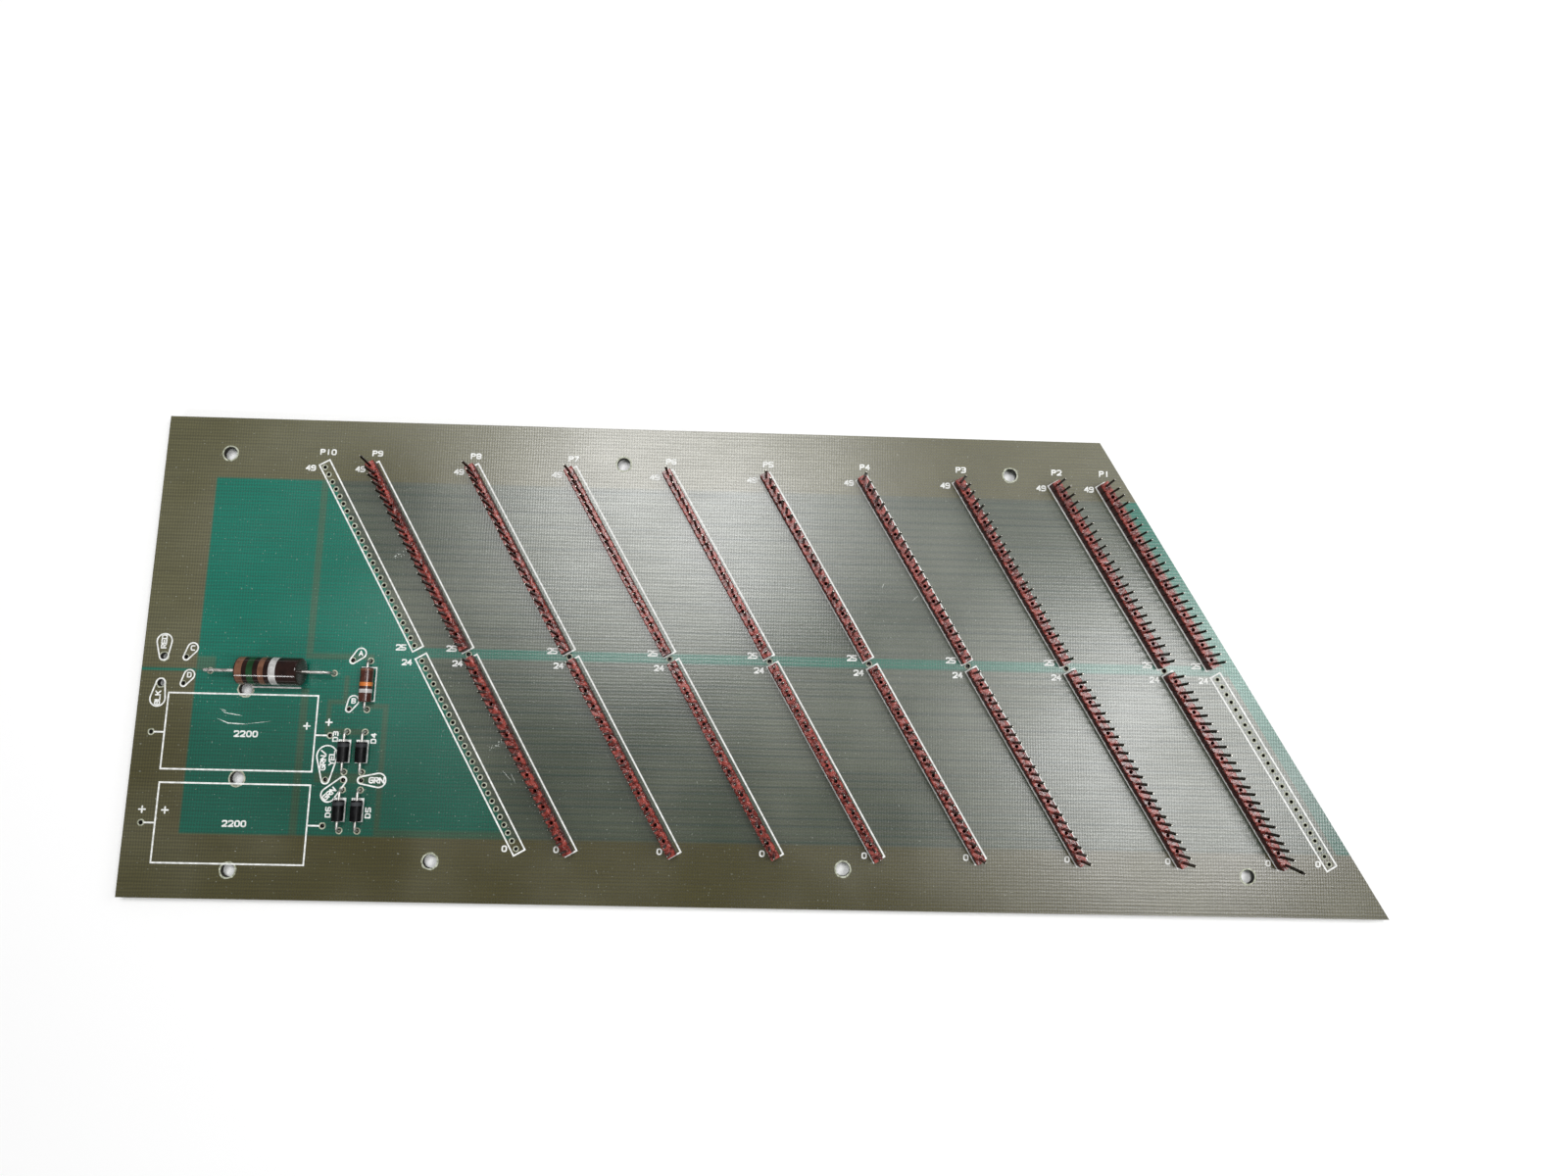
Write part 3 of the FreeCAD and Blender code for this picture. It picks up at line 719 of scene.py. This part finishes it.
def add_scratch(bm, points, width):
    """A ragged line that thins towards its ends."""
    places = [Vector(point) for point in points]
    samples = []
    for a, b in zip(places, places[1:]):
        steps = max(2, int((b - a).length / SCRATCH_STEP))
        samples += [a.lerp(b, k / steps) for k in range(steps)]
    samples.append(places[-1])
    strip = []
    for i, sample in enumerate(samples):
        before, after = samples[max(i - 1, 0)], samples[min(i + 1, len(samples) - 1)]
        way = (after - before).normalized()
        taper = math.sin(math.pi * (i + BLUNT_END) / (len(samples) - 1 + 2 * BLUNT_END))
        reach = width / 2 * taper * dice.uniform(*SCRATCH_EDGE)
        side = Vector((-way.y, way.x)) * reach
        middle = sample + Vector((-way.y, way.x)) * dice.uniform(-SCRATCH_WANDER, SCRATCH_WANDER)
        strip.append([bm.verts.new(spot(*edge, SCRATCH_LEVEL)) for edge in (middle + side, middle - side)])
    for (a, b), (c, d) in zip(strip, strip[1:]):
        bm.faces.new((a, b, d, c))


def add_fleck(bm, x, y, size):
    corners = circle(size, FLECK_SIDES)
    rim = [(dx * dice.uniform(*FLECK_EDGE), dy * dice.uniform(*FLECK_EDGE)) for dx, dy in corners]
    bm.faces.new([bm.verts.new(spot(x + dx, y + dy, SCRATCH_LEVEL)) for dx, dy in rim])


def build_scratches(bm):
    for points, width in SCRATCHES:
        add_scratch(bm, points, width)
    for x, y in FLECKS:
        for _ in range(FLECKS_AT_ONCE):
            dx, dy = [dice.gauss(0, spread) for spread in FLECK_SPREAD]
            add_fleck(bm, x + dx, y + dy, dice.uniform(*FLECK_SIZES))
    for _ in range(DUST_COUNT):
        y = dice.uniform(*DUST_DEPTH)
        x = dice.uniform(DUST_LEFT, LAST_SLOT + DUST_PAST_SLOTS - y * math.tan(SLANT))
        add_fleck(bm, x, y, dice.uniform(*DUST_SIZES))


dice = random.Random(19)
haze = speckled_material("lifted_resin", (0.42, 0.47, 0.42), (0.80, 0.83, 0.79), 0.5, 0.75, 2600)
add_piece("scratches", mesh_from("scratches", build_scratches, flat=True), [haze], "laminate")


# Header mouldings: red nylon bars with a nick in each side between every two pins and a round hole
# in every second waist. Most rows are two lengths set end to end, held down by their soldered pins.
FITTED = [(slot, half) for slot in SLOTS for half in HALVES if (slot, half) not in EMPTY]
WAFER_HALF = 1.35
WAFER_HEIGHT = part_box("wafer_p9_upper")[1].z / MM - TOP
WAFER_GAP = 0.1
WAFER_EASE = 0.22
NICK_DEPTH = 0.34
NICK_REACH = 0.36
WELL = 0.46
WELL_EASE = 0.1
WELL_STEPS = 8
WELD_DISTANCE = 0.001
# How many pins the first length of each row holds
FIRST_LENGTHS = {
    ("p9", "upper"): 15, ("p9", "lower"): 11, ("p8", "upper"): 13, ("p8", "lower"): 11,
    ("p7", "upper"): 15, ("p7", "lower"): 15, ("p6", "upper"): 15, ("p6", "lower"): 9,
    ("p5", "upper"): 13, ("p5", "lower"): 15, ("p4", "upper"): 9, ("p4", "lower"): 11,
    ("p3", "upper"): 13, ("p3", "lower"): 11, ("p2", "lower"): 13,
}
# The one length that was set in the other way round, so that its holes start at its first waist
REVERSED = [("p2", "lower", 0)]


def end_points(place, facing, half, well, cut, hole):
    """The points across one end of a pin's share of a bar, from its near to its far side."""
    if cut:
        return [(place, -half), (place, half)]
    waist = half - NICK_DEPTH
    points = [(place, -waist)]
    if hole:
        turns = [math.pi * k / WELL_STEPS for k in range(WELL_STEPS + 1)]
        points += [(place + facing * well * math.sin(turn), -well * math.cos(turn)) for turn in turns]
    return points + [(place, waist)]


def add_share(bm, start, end, cuts, holes):
    """One pin's share of a bar: its crown, its eased edges, and the walls that the bar shows there."""
    levels = []
    crown = (WAFER_HALF - WAFER_EASE, WELL + WELL_EASE, WAFER_HEIGHT)
    shoulder = (WAFER_HALF, WELL, WAFER_HEIGHT - WAFER_EASE)
    foot = (WAFER_HALF, WELL, 0)
    for half, well, z in (crown, shoulder, foot):
        first = end_points(start, 1, half, well, cuts[0], holes[0])
        last = end_points(end, -1, half, well, cuts[1], holes[1])
        ring = [(start + NICK_REACH, -half), (end - NICK_REACH, -half)] + last
        ring += [(end - NICK_REACH, half), (start + NICK_REACH, half)] + first[::-1]
        levels.append([bm.verts.new(Vector((x, y, z)) * MM) for x, y in ring])
    bm.faces.new(levels[0])
    bm.faces.new(levels[2])
    # the faces where the bar goes on to the next pin's share stay open
    last_count = len(end_points(end, -1, WAFER_HALF, WELL, cuts[1], holes[1]))
    count = len(levels[0])
    joined = []
    if not cuts[1]:
        joined += [2, last_count] if holes[1] else [2]
    if not cuts[0]:
        joined += [last_count + 4, count - 2] if holes[0] else [last_count + 4]
    for upper, lower in zip(levels, levels[1:]):
        for i in range(count):
            if i not in joined:
                j = (i + 1) % count
                bm.faces.new((upper[i], upper[j], lower[j], lower[i]))


def build_wafers(slot, half):
    """The bars of one row along X from its first pin."""
    def build(bm):
        first = FIRST_LENGTHS.get((slot, half), PINS)
        for number, (begin, stop) in enumerate(((0, first), (first, PINS))):
            offset = 0 if (slot, half, number) in REVERSED else 1
            for pin in range(begin, stop):
                cuts = (pin == begin, pin == stop - 1)
                start = (pin - 0.5) * PITCH + (WAFER_GAP / 2 if cuts[0] else 0)
                end = (pin + 0.5) * PITCH - (WAFER_GAP / 2 if cuts[1] else 0)
                before, after = (pin - 1 - begin) % 2 == offset, (pin - begin) % 2 == offset
                add_share(bm, start, end, cuts, (before, after))
        bmesh.ops.remove_doubles(bm, verts=bm.verts, dist=WELD_DISTANCE * MM)
    return build


SCUFF_TONE = (0.60, 0.34, 0.30)


def nylon_material(name, dark, light, dusty, low, high):
    """Red nylon with an uneven skin that breaks up its shine, and pale scuffs where it is dusty."""
    n = Nodes(name)
    place = n.place()
    flow = n.noise(place, 700, 3)
    dust = n.noise(place, 2400, 2)
    colour = n.mix(n.ramp(flow, 0.3, 0.7), dark, light)
    n.link("Base Color", n.mix(n.ramp(dust, 0.58, 0.76, 0.0, dusty), colour, SCUFF_TONE))
    n.link("Roughness", n.ramp(flow, 0.3, 0.7, low, high))
    n.bump(n.math("MULTIPLY_ADD", dust, 0.3, flow), 0.8, 0.0002)
    return n.material


nylon_top = nylon_material(
    "red_nylon_top", (0.065, 0.007, 0.005), (0.34, 0.048, 0.034), 0.8, 0.12, 0.28)
# The walls of the bars take a far darker copy of the same nylon: painted shade.
nylon_wall_painted_shade = nylon_material(
    "red_nylon_wall_painted_shade", (0.050, 0.007, 0.006), (0.085, 0.014, 0.011), 0.1, 0.45, 0.6)
TOP_NYLON, SHADED_WALL_NYLON = range(2)
LEAST_TOP_RISE = 0.3
for slot, half in FITTED:
    name = f"moulding_{slot}_{half}"
    mesh = mesh_from(name, build_wafers(slot, half))
    mesh.transform(Matrix.Rotation(SLANT - math.pi / 2, 4, "Z"))
    mesh.transform(Matrix.Translation(spot(*pin_spot(slot, half, 0)[:2], TOP)))
    for face in mesh.polygons:
        face.material_index = SHADED_WALL_NYLON if abs(face.normal.z) < LEAST_TOP_RISE else TOP_NYLON
    add_piece(name, mesh, [nylon_top, nylon_wall_painted_shade], "moulding", f"wafer_{slot}_{half}")


# Contact pins: square tinned brass wire with a coined point, pressed through the mouldings and
# soldered below. Handling has left most of them a little out of line and two of them bent.
BENT = {("p9", "upper", 0): (-0.02, 0.13), ("p2", "lower", PINS - 1): (0.22, -0.2)}
USUAL_LEAN = 0.012
PIN_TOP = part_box("pins_p9_upper")[1].z / MM - TOP
# Heights above the sheet and the widths of the pins there
PIN_STATIONS = [
    (WAFER_HEIGHT - 0.4, 0.64), (WAFER_HEIGHT + 0.3, 0.64), (PIN_TOP - 0.9, 0.62), (PIN_TOP, 0.2),
]
# How far below the point the pins are drawn lighter, how softly that fades, and its tone: rubbed tin, and
# a painted highlight on the points
RUBBED_HIGHLIGHT_LENGTH = 0.6
RUBBED_HIGHLIGHT_FADE = 0.4
RUBBED_HIGHLIGHT_TONE = (0.48, 0.45, 0.41)


def build_pins(slot, half):
    def build(bm):
        for i in range(PINS):
            foot = pin_spot(slot, half, i)
            chance = (dice.gauss(0, USUAL_LEAN), dice.gauss(0, USUAL_LEAN))
            lean = Vector(BENT.get((slot, half, i), chance))
            rings = []
            for height, width in PIN_STATIONS:
                rise = max(height - WAFER_HEIGHT, 0)
                drop = 0.5 * rise * lean.length_squared
                middle = FIRST_PIN + foot + Vector((*(lean * rise), TOP + height - drop))
                corners = [(-width / 2, -width / 2), (width / 2, -width / 2)]
                corners += [(width / 2, width / 2), (-width / 2, width / 2)]
                rings.append([bm.verts.new((middle + ALONG * a + ACROSS * b) * MM) for a, b in corners])
            for lower, upper in zip(rings, rings[1:]):
                for k in range(4):
                    bm.faces.new((lower[k - 1], lower[k], upper[k], upper[k - 1]))
            bm.faces.new(rings[-1])
            bm.faces.new(rings[0])
    return build


def tin_material(name, dark, light, low, high, rubbed_highlight_above=None):
    """Drawn metal with streaks of tarnish, rubbed bright above a height where one is given, the lighter
    tone there also standing as a painted highlight.
    """
    n = Nodes(name)
    place = n.place()
    tarnish = n.noise(place, 500, 4)
    colour = n.mix(n.ramp(tarnish, 0.35, 0.65), dark, light)
    if rubbed_highlight_above:
        rubbed_highlight = n.ramp(n.axes(place)[2], rubbed_highlight_above * MM, (rubbed_highlight_above + RUBBED_HIGHLIGHT_FADE) * MM)
        colour = n.mix(rubbed_highlight, colour, RUBBED_HIGHLIGHT_TONE)
    n.link("Base Color", colour)
    n.link("Roughness", n.ramp(tarnish, 0.3, 0.7, low, high))
    n.bump(tarnish, 0.1, 0.00003)
    n.set(Metallic=1.0)
    return n.material


# The pins are drawn darker than tarnished tin: their near-black tone is tarnish and a painted dark
# reflection.
pin_metal = tin_material(
    "tarnished_tin_painted_dark", (0.025, 0.021, 0.018), (0.10, 0.090, 0.080), 0.28, 0.45, TOP + PIN_TOP - RUBBED_HIGHLIGHT_LENGTH)
dice = random.Random(11)
for slot, half in FITTED:
    name = f"pin_row_{slot}_{half}"
    mesh = mesh_from(name, build_pins(slot, half))
    add_piece(name, mesh, [pin_metal], "tinned_metal", f"pins_{slot}_{half}")


# Wire-ended parts: two resistors with painted colour bands and four moulded diodes with a grey band
# at the cathode. Their tinned leads are bent down through the sheet and soldered below.
CLEARANCE = 0.3
PAINT = 0.03
SHARP_ANGLE = math.radians(30)


def turned_mesh(name, profile, sides):
    """A round body along X from (place, radius, material number) stations, in millimetres."""
    def build(bm):
        rims = []
        for along, radius, _ in profile:
            rims.append([bm.verts.new(Vector((along, *point)) * MM) for point in circle(radius, sides)])
        for first, second, (_, _, number) in zip(rims, rims[1:], profile):
            for i in range(sides):
                face = bm.faces.new((first[i - 1], first[i], second[i], second[i - 1]))
                face.material_index = number
                face.smooth = True
        for rim, number in ((rims[0], profile[0][2]), (rims[-1], profile[-1][2])):
            bm.faces.new(rim).material_index = number
    mesh = mesh_from(name, build)
    mesh.set_sharp_from_angle(angle=SHARP_ANGLE)
    return mesh


def banded_profile(length, radius, ease, bands):
    """Stations of a body with eased rims and raised bands as (start, end, material number)."""
    half = length / 2
    rim = [(half, radius - ease), (half - 0.3 * ease, radius - 0.3 * ease)]
    rim += [(half - ease, radius), (half - 1.2 * ease, radius)]
    stations = [(-along, reach, 0) for along, reach in rim]
    for start, end, number in bands:
        stations += [(start, radius, number), (start, radius + PAINT, number)]
        stations += [(end, radius + PAINT, number), (end, radius, 0)]
    return stations + [(along, reach, 0) for along, reach in rim[::-1]]


ENAMEL_GRAIN = 0.01
CASE_SPECULAR = 0.15
brown = speckled_material(
    "brown_enamel", (0.010, 0.0035, 0.0028), (0.022, 0.008, 0.006), 0.10, 0.14, 350, ENAMEL_GRAIN)
red_brown = speckled_material(
    "red_brown_enamel", (0.040, 0.012, 0.008), (0.080, 0.026, 0.016), 0.14, 0.2, 500, ENAMEL_GRAIN)
tan_band = speckled_material(
    "tan_band", (0.12, 0.052, 0.030), (0.19, 0.088, 0.052), 0.12, 0.18, 500, ENAMEL_GRAIN)
green_band = speckled_material(
    "green_band", (0.006, 0.036, 0.010), (0.012, 0.060, 0.020), 0.12, 0.18, 350, ENAMEL_GRAIN)
silver_band = speckled_material(
    "silver_band", (0.36, 0.35, 0.34), (0.56, 0.55, 0.54), 0.14, 0.2, 600, ENAMEL_GRAIN)
orange_band = speckled_material(
    "orange_band", (0.50, 0.13, 0.025), (0.66, 0.22, 0.05), 0.14, 0.2, 350, ENAMEL_GRAIN)
black_case = speckled_material(
    "black_moulding", (0.0022, 0.0022, 0.0026), (0.005, 0.005, 0.0056), 0.3, 0.45, 700,
    specular=CASE_SPECULAR)
grey_band = speckled_material(
    "grey_band", (0.022, 0.023, 0.026), (0.046, 0.048, 0.052), 0.4, 0.55, 500,
    specular=CASE_SPECULAR)
lead_metal = tin_material("tinned_lead", (0.50, 0.48, 0.45), (0.78, 0.76, 0.73), 0.38, 0.55)


LEAD_IN_BODY = 0.3
LEAD_BELOW = 0.9
BEND_STEPS = 6


def add_lead_wires(name, node, middle, turn, span, inner_ends, axis, radius, bend):
    """Two round wires from the ends of a body, bent down through the sheet."""
    curve = bpy.data.curves.new(name, "CURVE")
    curve.dimensions = "3D"
    curve.bevel_depth = radius * MM
    curve.bevel_resolution = 3
    curve.use_fill_caps = True
    for side, inner in zip((-1, 1), inner_ends):
        points = [(inner - side * LEAD_IN_BODY, axis), (side * (span / 2 - bend), axis)]
        for i in range(1, BEND_STEPS):
            turned = i / BEND_STEPS * math.pi / 2
            along = span / 2 - bend + bend * math.sin(turned)
            points.append((side * along, axis - bend + bend * math.cos(turned)))
        points += [(side * span / 2, axis - bend), (side * span / 2, UNDERSIDE - LEAD_BELOW)]
        spline = curve.splines.new("POLY")
        spline.points.add(len(points) - 1)
        for point, (along, z) in zip(spline.points, points):
            point.co = (along * MM, 0, z * MM, 1)
    mesh = curve_mesh(curve)
    mesh.transform(Matrix.Translation(spot(*middle)) @ Matrix.Rotation(math.radians(turn), 4, "Z"))
    for face in mesh.polygons:
        face.use_smooth = True
    add_piece(name, mesh, [lead_metal], "tinned_metal", node)


def add_round_part(name, node, mesh, materials, slot, middle, turn, axis, offset=0.0):
    """A turned body laid on its side over the middle of its leads."""
    mesh.transform(Matrix.Translation((offset * MM, 0, 0)))
    mesh.transform(Matrix.Rotation(math.radians(turn), 4, "Z"))
    mesh.transform(Matrix.Translation(spot(*middle, axis)))
    add_piece(name, mesh, materials, slot, node)


THIN_LEAD = 0.37
ALONG_Y = 90

POWER_MIDDLE = (-9.68, -61.4)
POWER_SPAN = 35.56
POWER_LENGTH = 17.5
POWER_RADIUS = 3.95
POWER_OFFSET = 1.55
POWER_EASE = 0.3
POWER_SIDES = 64
POWER_LEAD = 0.48
POWER_BEND = 1.6
# Bands from the middle of the body, with the number of their finish
POWER_BANDS = [(-8.3, -6.4, 1), (-5.1, -3.35, 2), (-1.9, -0.35, 1), (1.05, 3.0, 3)]
power_axis = TOP + CLEARANCE + POWER_RADIUS
power_profile = banded_profile(POWER_LENGTH, POWER_RADIUS, POWER_EASE, POWER_BANDS)
power_mesh = turned_mesh("power_resistor_body", power_profile, POWER_SIDES)
power_finishes = [brown, tan_band, green_band, silver_band]
add_round_part("power_resistor_body", "power_resistor", power_mesh, power_finishes, "resistor_case",
               POWER_MIDDLE, 0, power_axis, POWER_OFFSET)
power_ends = (POWER_OFFSET - POWER_LENGTH / 2, POWER_OFFSET + POWER_LENGTH / 2)
add_lead_wires("power_resistor_wires", "power_resistor_leads", POWER_MIDDLE, 0, POWER_SPAN, power_ends,
               power_axis, POWER_LEAD, POWER_BEND)

SMALL_MIDDLE = (18.3, -64.6)
SMALL_SPAN = 14.1
SMALL_LENGTH = 9.8
SMALL_RADIUS = 1.8
SMALL_EASE = 0.25
SMALL_SIDES = 40
SMALL_BEND = 1.2
SMALL_BANDS = [(-2.3, -1.2, 2), (-0.35, 0.75, 1), (4.05, 4.55, 3)]
small_axis = TOP + CLEARANCE + SMALL_RADIUS
small_profile = banded_profile(SMALL_LENGTH, SMALL_RADIUS, SMALL_EASE, SMALL_BANDS)
small_mesh = turned_mesh("small_resistor_body", small_profile, SMALL_SIDES)
small_finishes = [red_brown, orange_band, silver_band, tan_band]
add_round_part("small_resistor_body", "small_resistor", small_mesh, small_finishes, "resistor_case",
               SMALL_MIDDLE, ALONG_Y, small_axis)
small_ends = (-SMALL_LENGTH / 2, SMALL_LENGTH / 2)
add_lead_wires("small_resistor_wires", "small_resistor_leads", SMALL_MIDDLE, ALONG_Y, SMALL_SPAN,
               small_ends, small_axis, THIN_LEAD, SMALL_BEND)

DIODES = {
    "d3": (13.25, -83.77), "d4": (18.33, -83.77), "d6": (13.25, -100.17), "d5": (18.33, -100.17),
}
DIODE_SPAN = 11.43
DIODE_HALF = 2.9
DIODE_RADIUS = 1.6
DIODE_RIM = DIODE_RADIUS - 0.15
DIODE_SHOULDER = DIODE_RADIUS - 0.04
SHOULDER_FROM_END = 0.12
DIODE_BAND = (1.45, 2.45)
DIODE_SIDES = 32
DIODE_BEND = 1.1
diode_axis = TOP + CLEARANCE + DIODE_RADIUS
diode_profile = [
    (-DIODE_HALF, DIODE_RIM, 0), (-DIODE_HALF + SHOULDER_FROM_END, DIODE_SHOULDER, 0),
    (0.0, DIODE_RADIUS, 0), (DIODE_BAND[0], DIODE_RADIUS, 1), (DIODE_BAND[1], DIODE_RADIUS, 0),
    (DIODE_HALF - SHOULDER_FROM_END, DIODE_SHOULDER, 0), (DIODE_HALF, DIODE_RIM, 0),
]
for name, middle in DIODES.items():
    body = turned_mesh(f"diode_{name}_body", diode_profile, DIODE_SIDES)
    add_round_part(f"diode_{name}_body", f"diode_{name}", body, [black_case, grey_band], "diode_case",
                   middle, ALONG_Y, diode_axis)
    add_lead_wires(f"diode_{name}_wires", f"diode_{name}_leads", middle, ALONG_Y, DIODE_SPAN,
                   (-DIODE_HALF, DIODE_HALF), diode_axis, THIN_LEAD, DIODE_BEND)


# Solder joints: a bright fillet of solder on each pad of the soldered side, drawn up round the cut
# end of its pin or lead. They are the points that the board lies on.
# Radii and how far below the sheet they lie
JOINT_PROFILE = [(0.95, 0.0), (0.9, 0.08), (0.62, 0.35), (0.42, 0.75), (0.34, 1.2), (0.2, 1.5)]
JOINT_SIDES = 10


def build_joints(bm):
    spots = [pin_spot(slot, half, i)[:2] for slot, half in FITTED for i in range(PINS)] + LEAD_SPOTS
    for x, y in spots:
        spread = dice.uniform(0.92, 1.04)
        rims = []
        for radius, drop in JOINT_PROFILE:
            rim = circle(radius * spread, JOINT_SIDES)
            rims.append([bm.verts.new(spot(x + dx, y + dy, UNDERSIDE - drop)) for dx, dy in rim])
        for upper, lower in zip(rims, rims[1:]):
            for i in range(JOINT_SIDES):
                bm.faces.new((upper[i - 1], upper[i], lower[i], lower[i - 1])).smooth = True
        bm.faces.new(rims[0])
        bm.faces.new(rims[-1])


dice = random.Random(23)
solder = tin_material("solder", (0.45, 0.45, 0.45), (0.72, 0.72, 0.71), 0.2, 0.38)
fillets = mesh_from("solder_fillets", build_joints)
add_piece("solder_fillets", fillets, [solder], "solder", "solder_joints")


# Studio: a pale floor, a dim even sky and soft lamps whose reflections give the broad sheen on
# the resin. The camera looks down on the board from where the photograph was taken.
FLOOR_REACH = 3.0
FLOOR_DROP = 0.0002
floor_mesh = bpy.data.meshes.new("floor")
floor_corners = [(x * FLOOR_REACH, y * FLOOR_REACH, 0) for x, y in ((-1, -1), (1, -1), (1, 1), (-1, 1))]
floor_mesh.from_pydata(floor_corners, [], [(0, 1, 2, 3)])
floor = bpy.data.objects.new("floor", floor_mesh)
floor.location.z = -FLOOR_DROP
bpy.context.scene.collection.objects.link(floor)
paper = Nodes("pale_floor")
paper_tone = paper.ramp(paper.noise(paper.place(), 3), 0.3, 0.7)
paper.link("Base Color", paper.mix(paper_tone, (0.93, 0.93, 0.93), (0.95, 0.95, 0.95)))
paper.set(Roughness=1.0, Specular_IOR_Level=0.0)
floor_mesh.materials.append(paper.material)

SKY_STRENGTH = 0.18
world = bpy.data.worlds.new("studio")
bpy.context.scene.world = world
world.use_nodes = True
sky = world.node_tree.nodes["Background"]
sky.inputs["Color"].default_value = (1, 1, 1, 1)
sky.inputs["Strength"].default_value = SKY_STRENGTH


def add_lamp(name, place, size, power):
    """A round soft lamp that faces the middle of the board, in metres and watts."""
    lamp = bpy.data.lights.new(name, "AREA")
    lamp.shape = "DISK"
    lamp.size = size
    lamp.energy = power
    holder = bpy.data.objects.new(name, lamp)
    holder.location = place
    holder.rotation_euler = (-Vector(place)).to_track_quat("-Z", "Y").to_euler()
    bpy.context.scene.collection.objects.link(holder)
    return holder


add_lamp("sheen_lamp", (-0.125, 0.305, 1.05), 0.45, 6.0)
add_lamp("side_sheen_lamp", (0.33, 0.38, 1.05), 0.5, 0.6)
add_lamp("end_sheen_lamp", (0.525, -0.025, 1.0), 0.42, 5.0)
add_lamp("key_lamp", (1.1, 0.35, 0.8), 0.5, 2.5)
add_lamp("back_fill", (0.0, 1.2, 0.8), 0.7, 0.6)
# a slim lamp whose reflection draws the bright line along the resistors
tube = add_lamp("tube_lamp", (-0.85, -1.0, 1.0), 0.4, 3.6)
tube.data.shape = "RECTANGLE"
tube.data.size_y = 0.08
tube.rotation_euler = (math.radians(45), 0, 0)

camera_data = bpy.data.cameras.new("camera")
camera_data.sensor_width = 36
camera_data.lens = 22.5
camera_data.clip_start = 0.01
camera = bpy.data.objects.new("camera", camera_data)
camera.location = (-0.00253, -0.02007, 0.29177)
camera.rotation_euler = [math.radians(angle) for angle in (8.328, -1.536, 1.251)]
bpy.context.scene.collection.objects.link(camera)
bpy.context.scene.camera = camera
bpy.context.scene.view_settings.view_transform = "Standard"
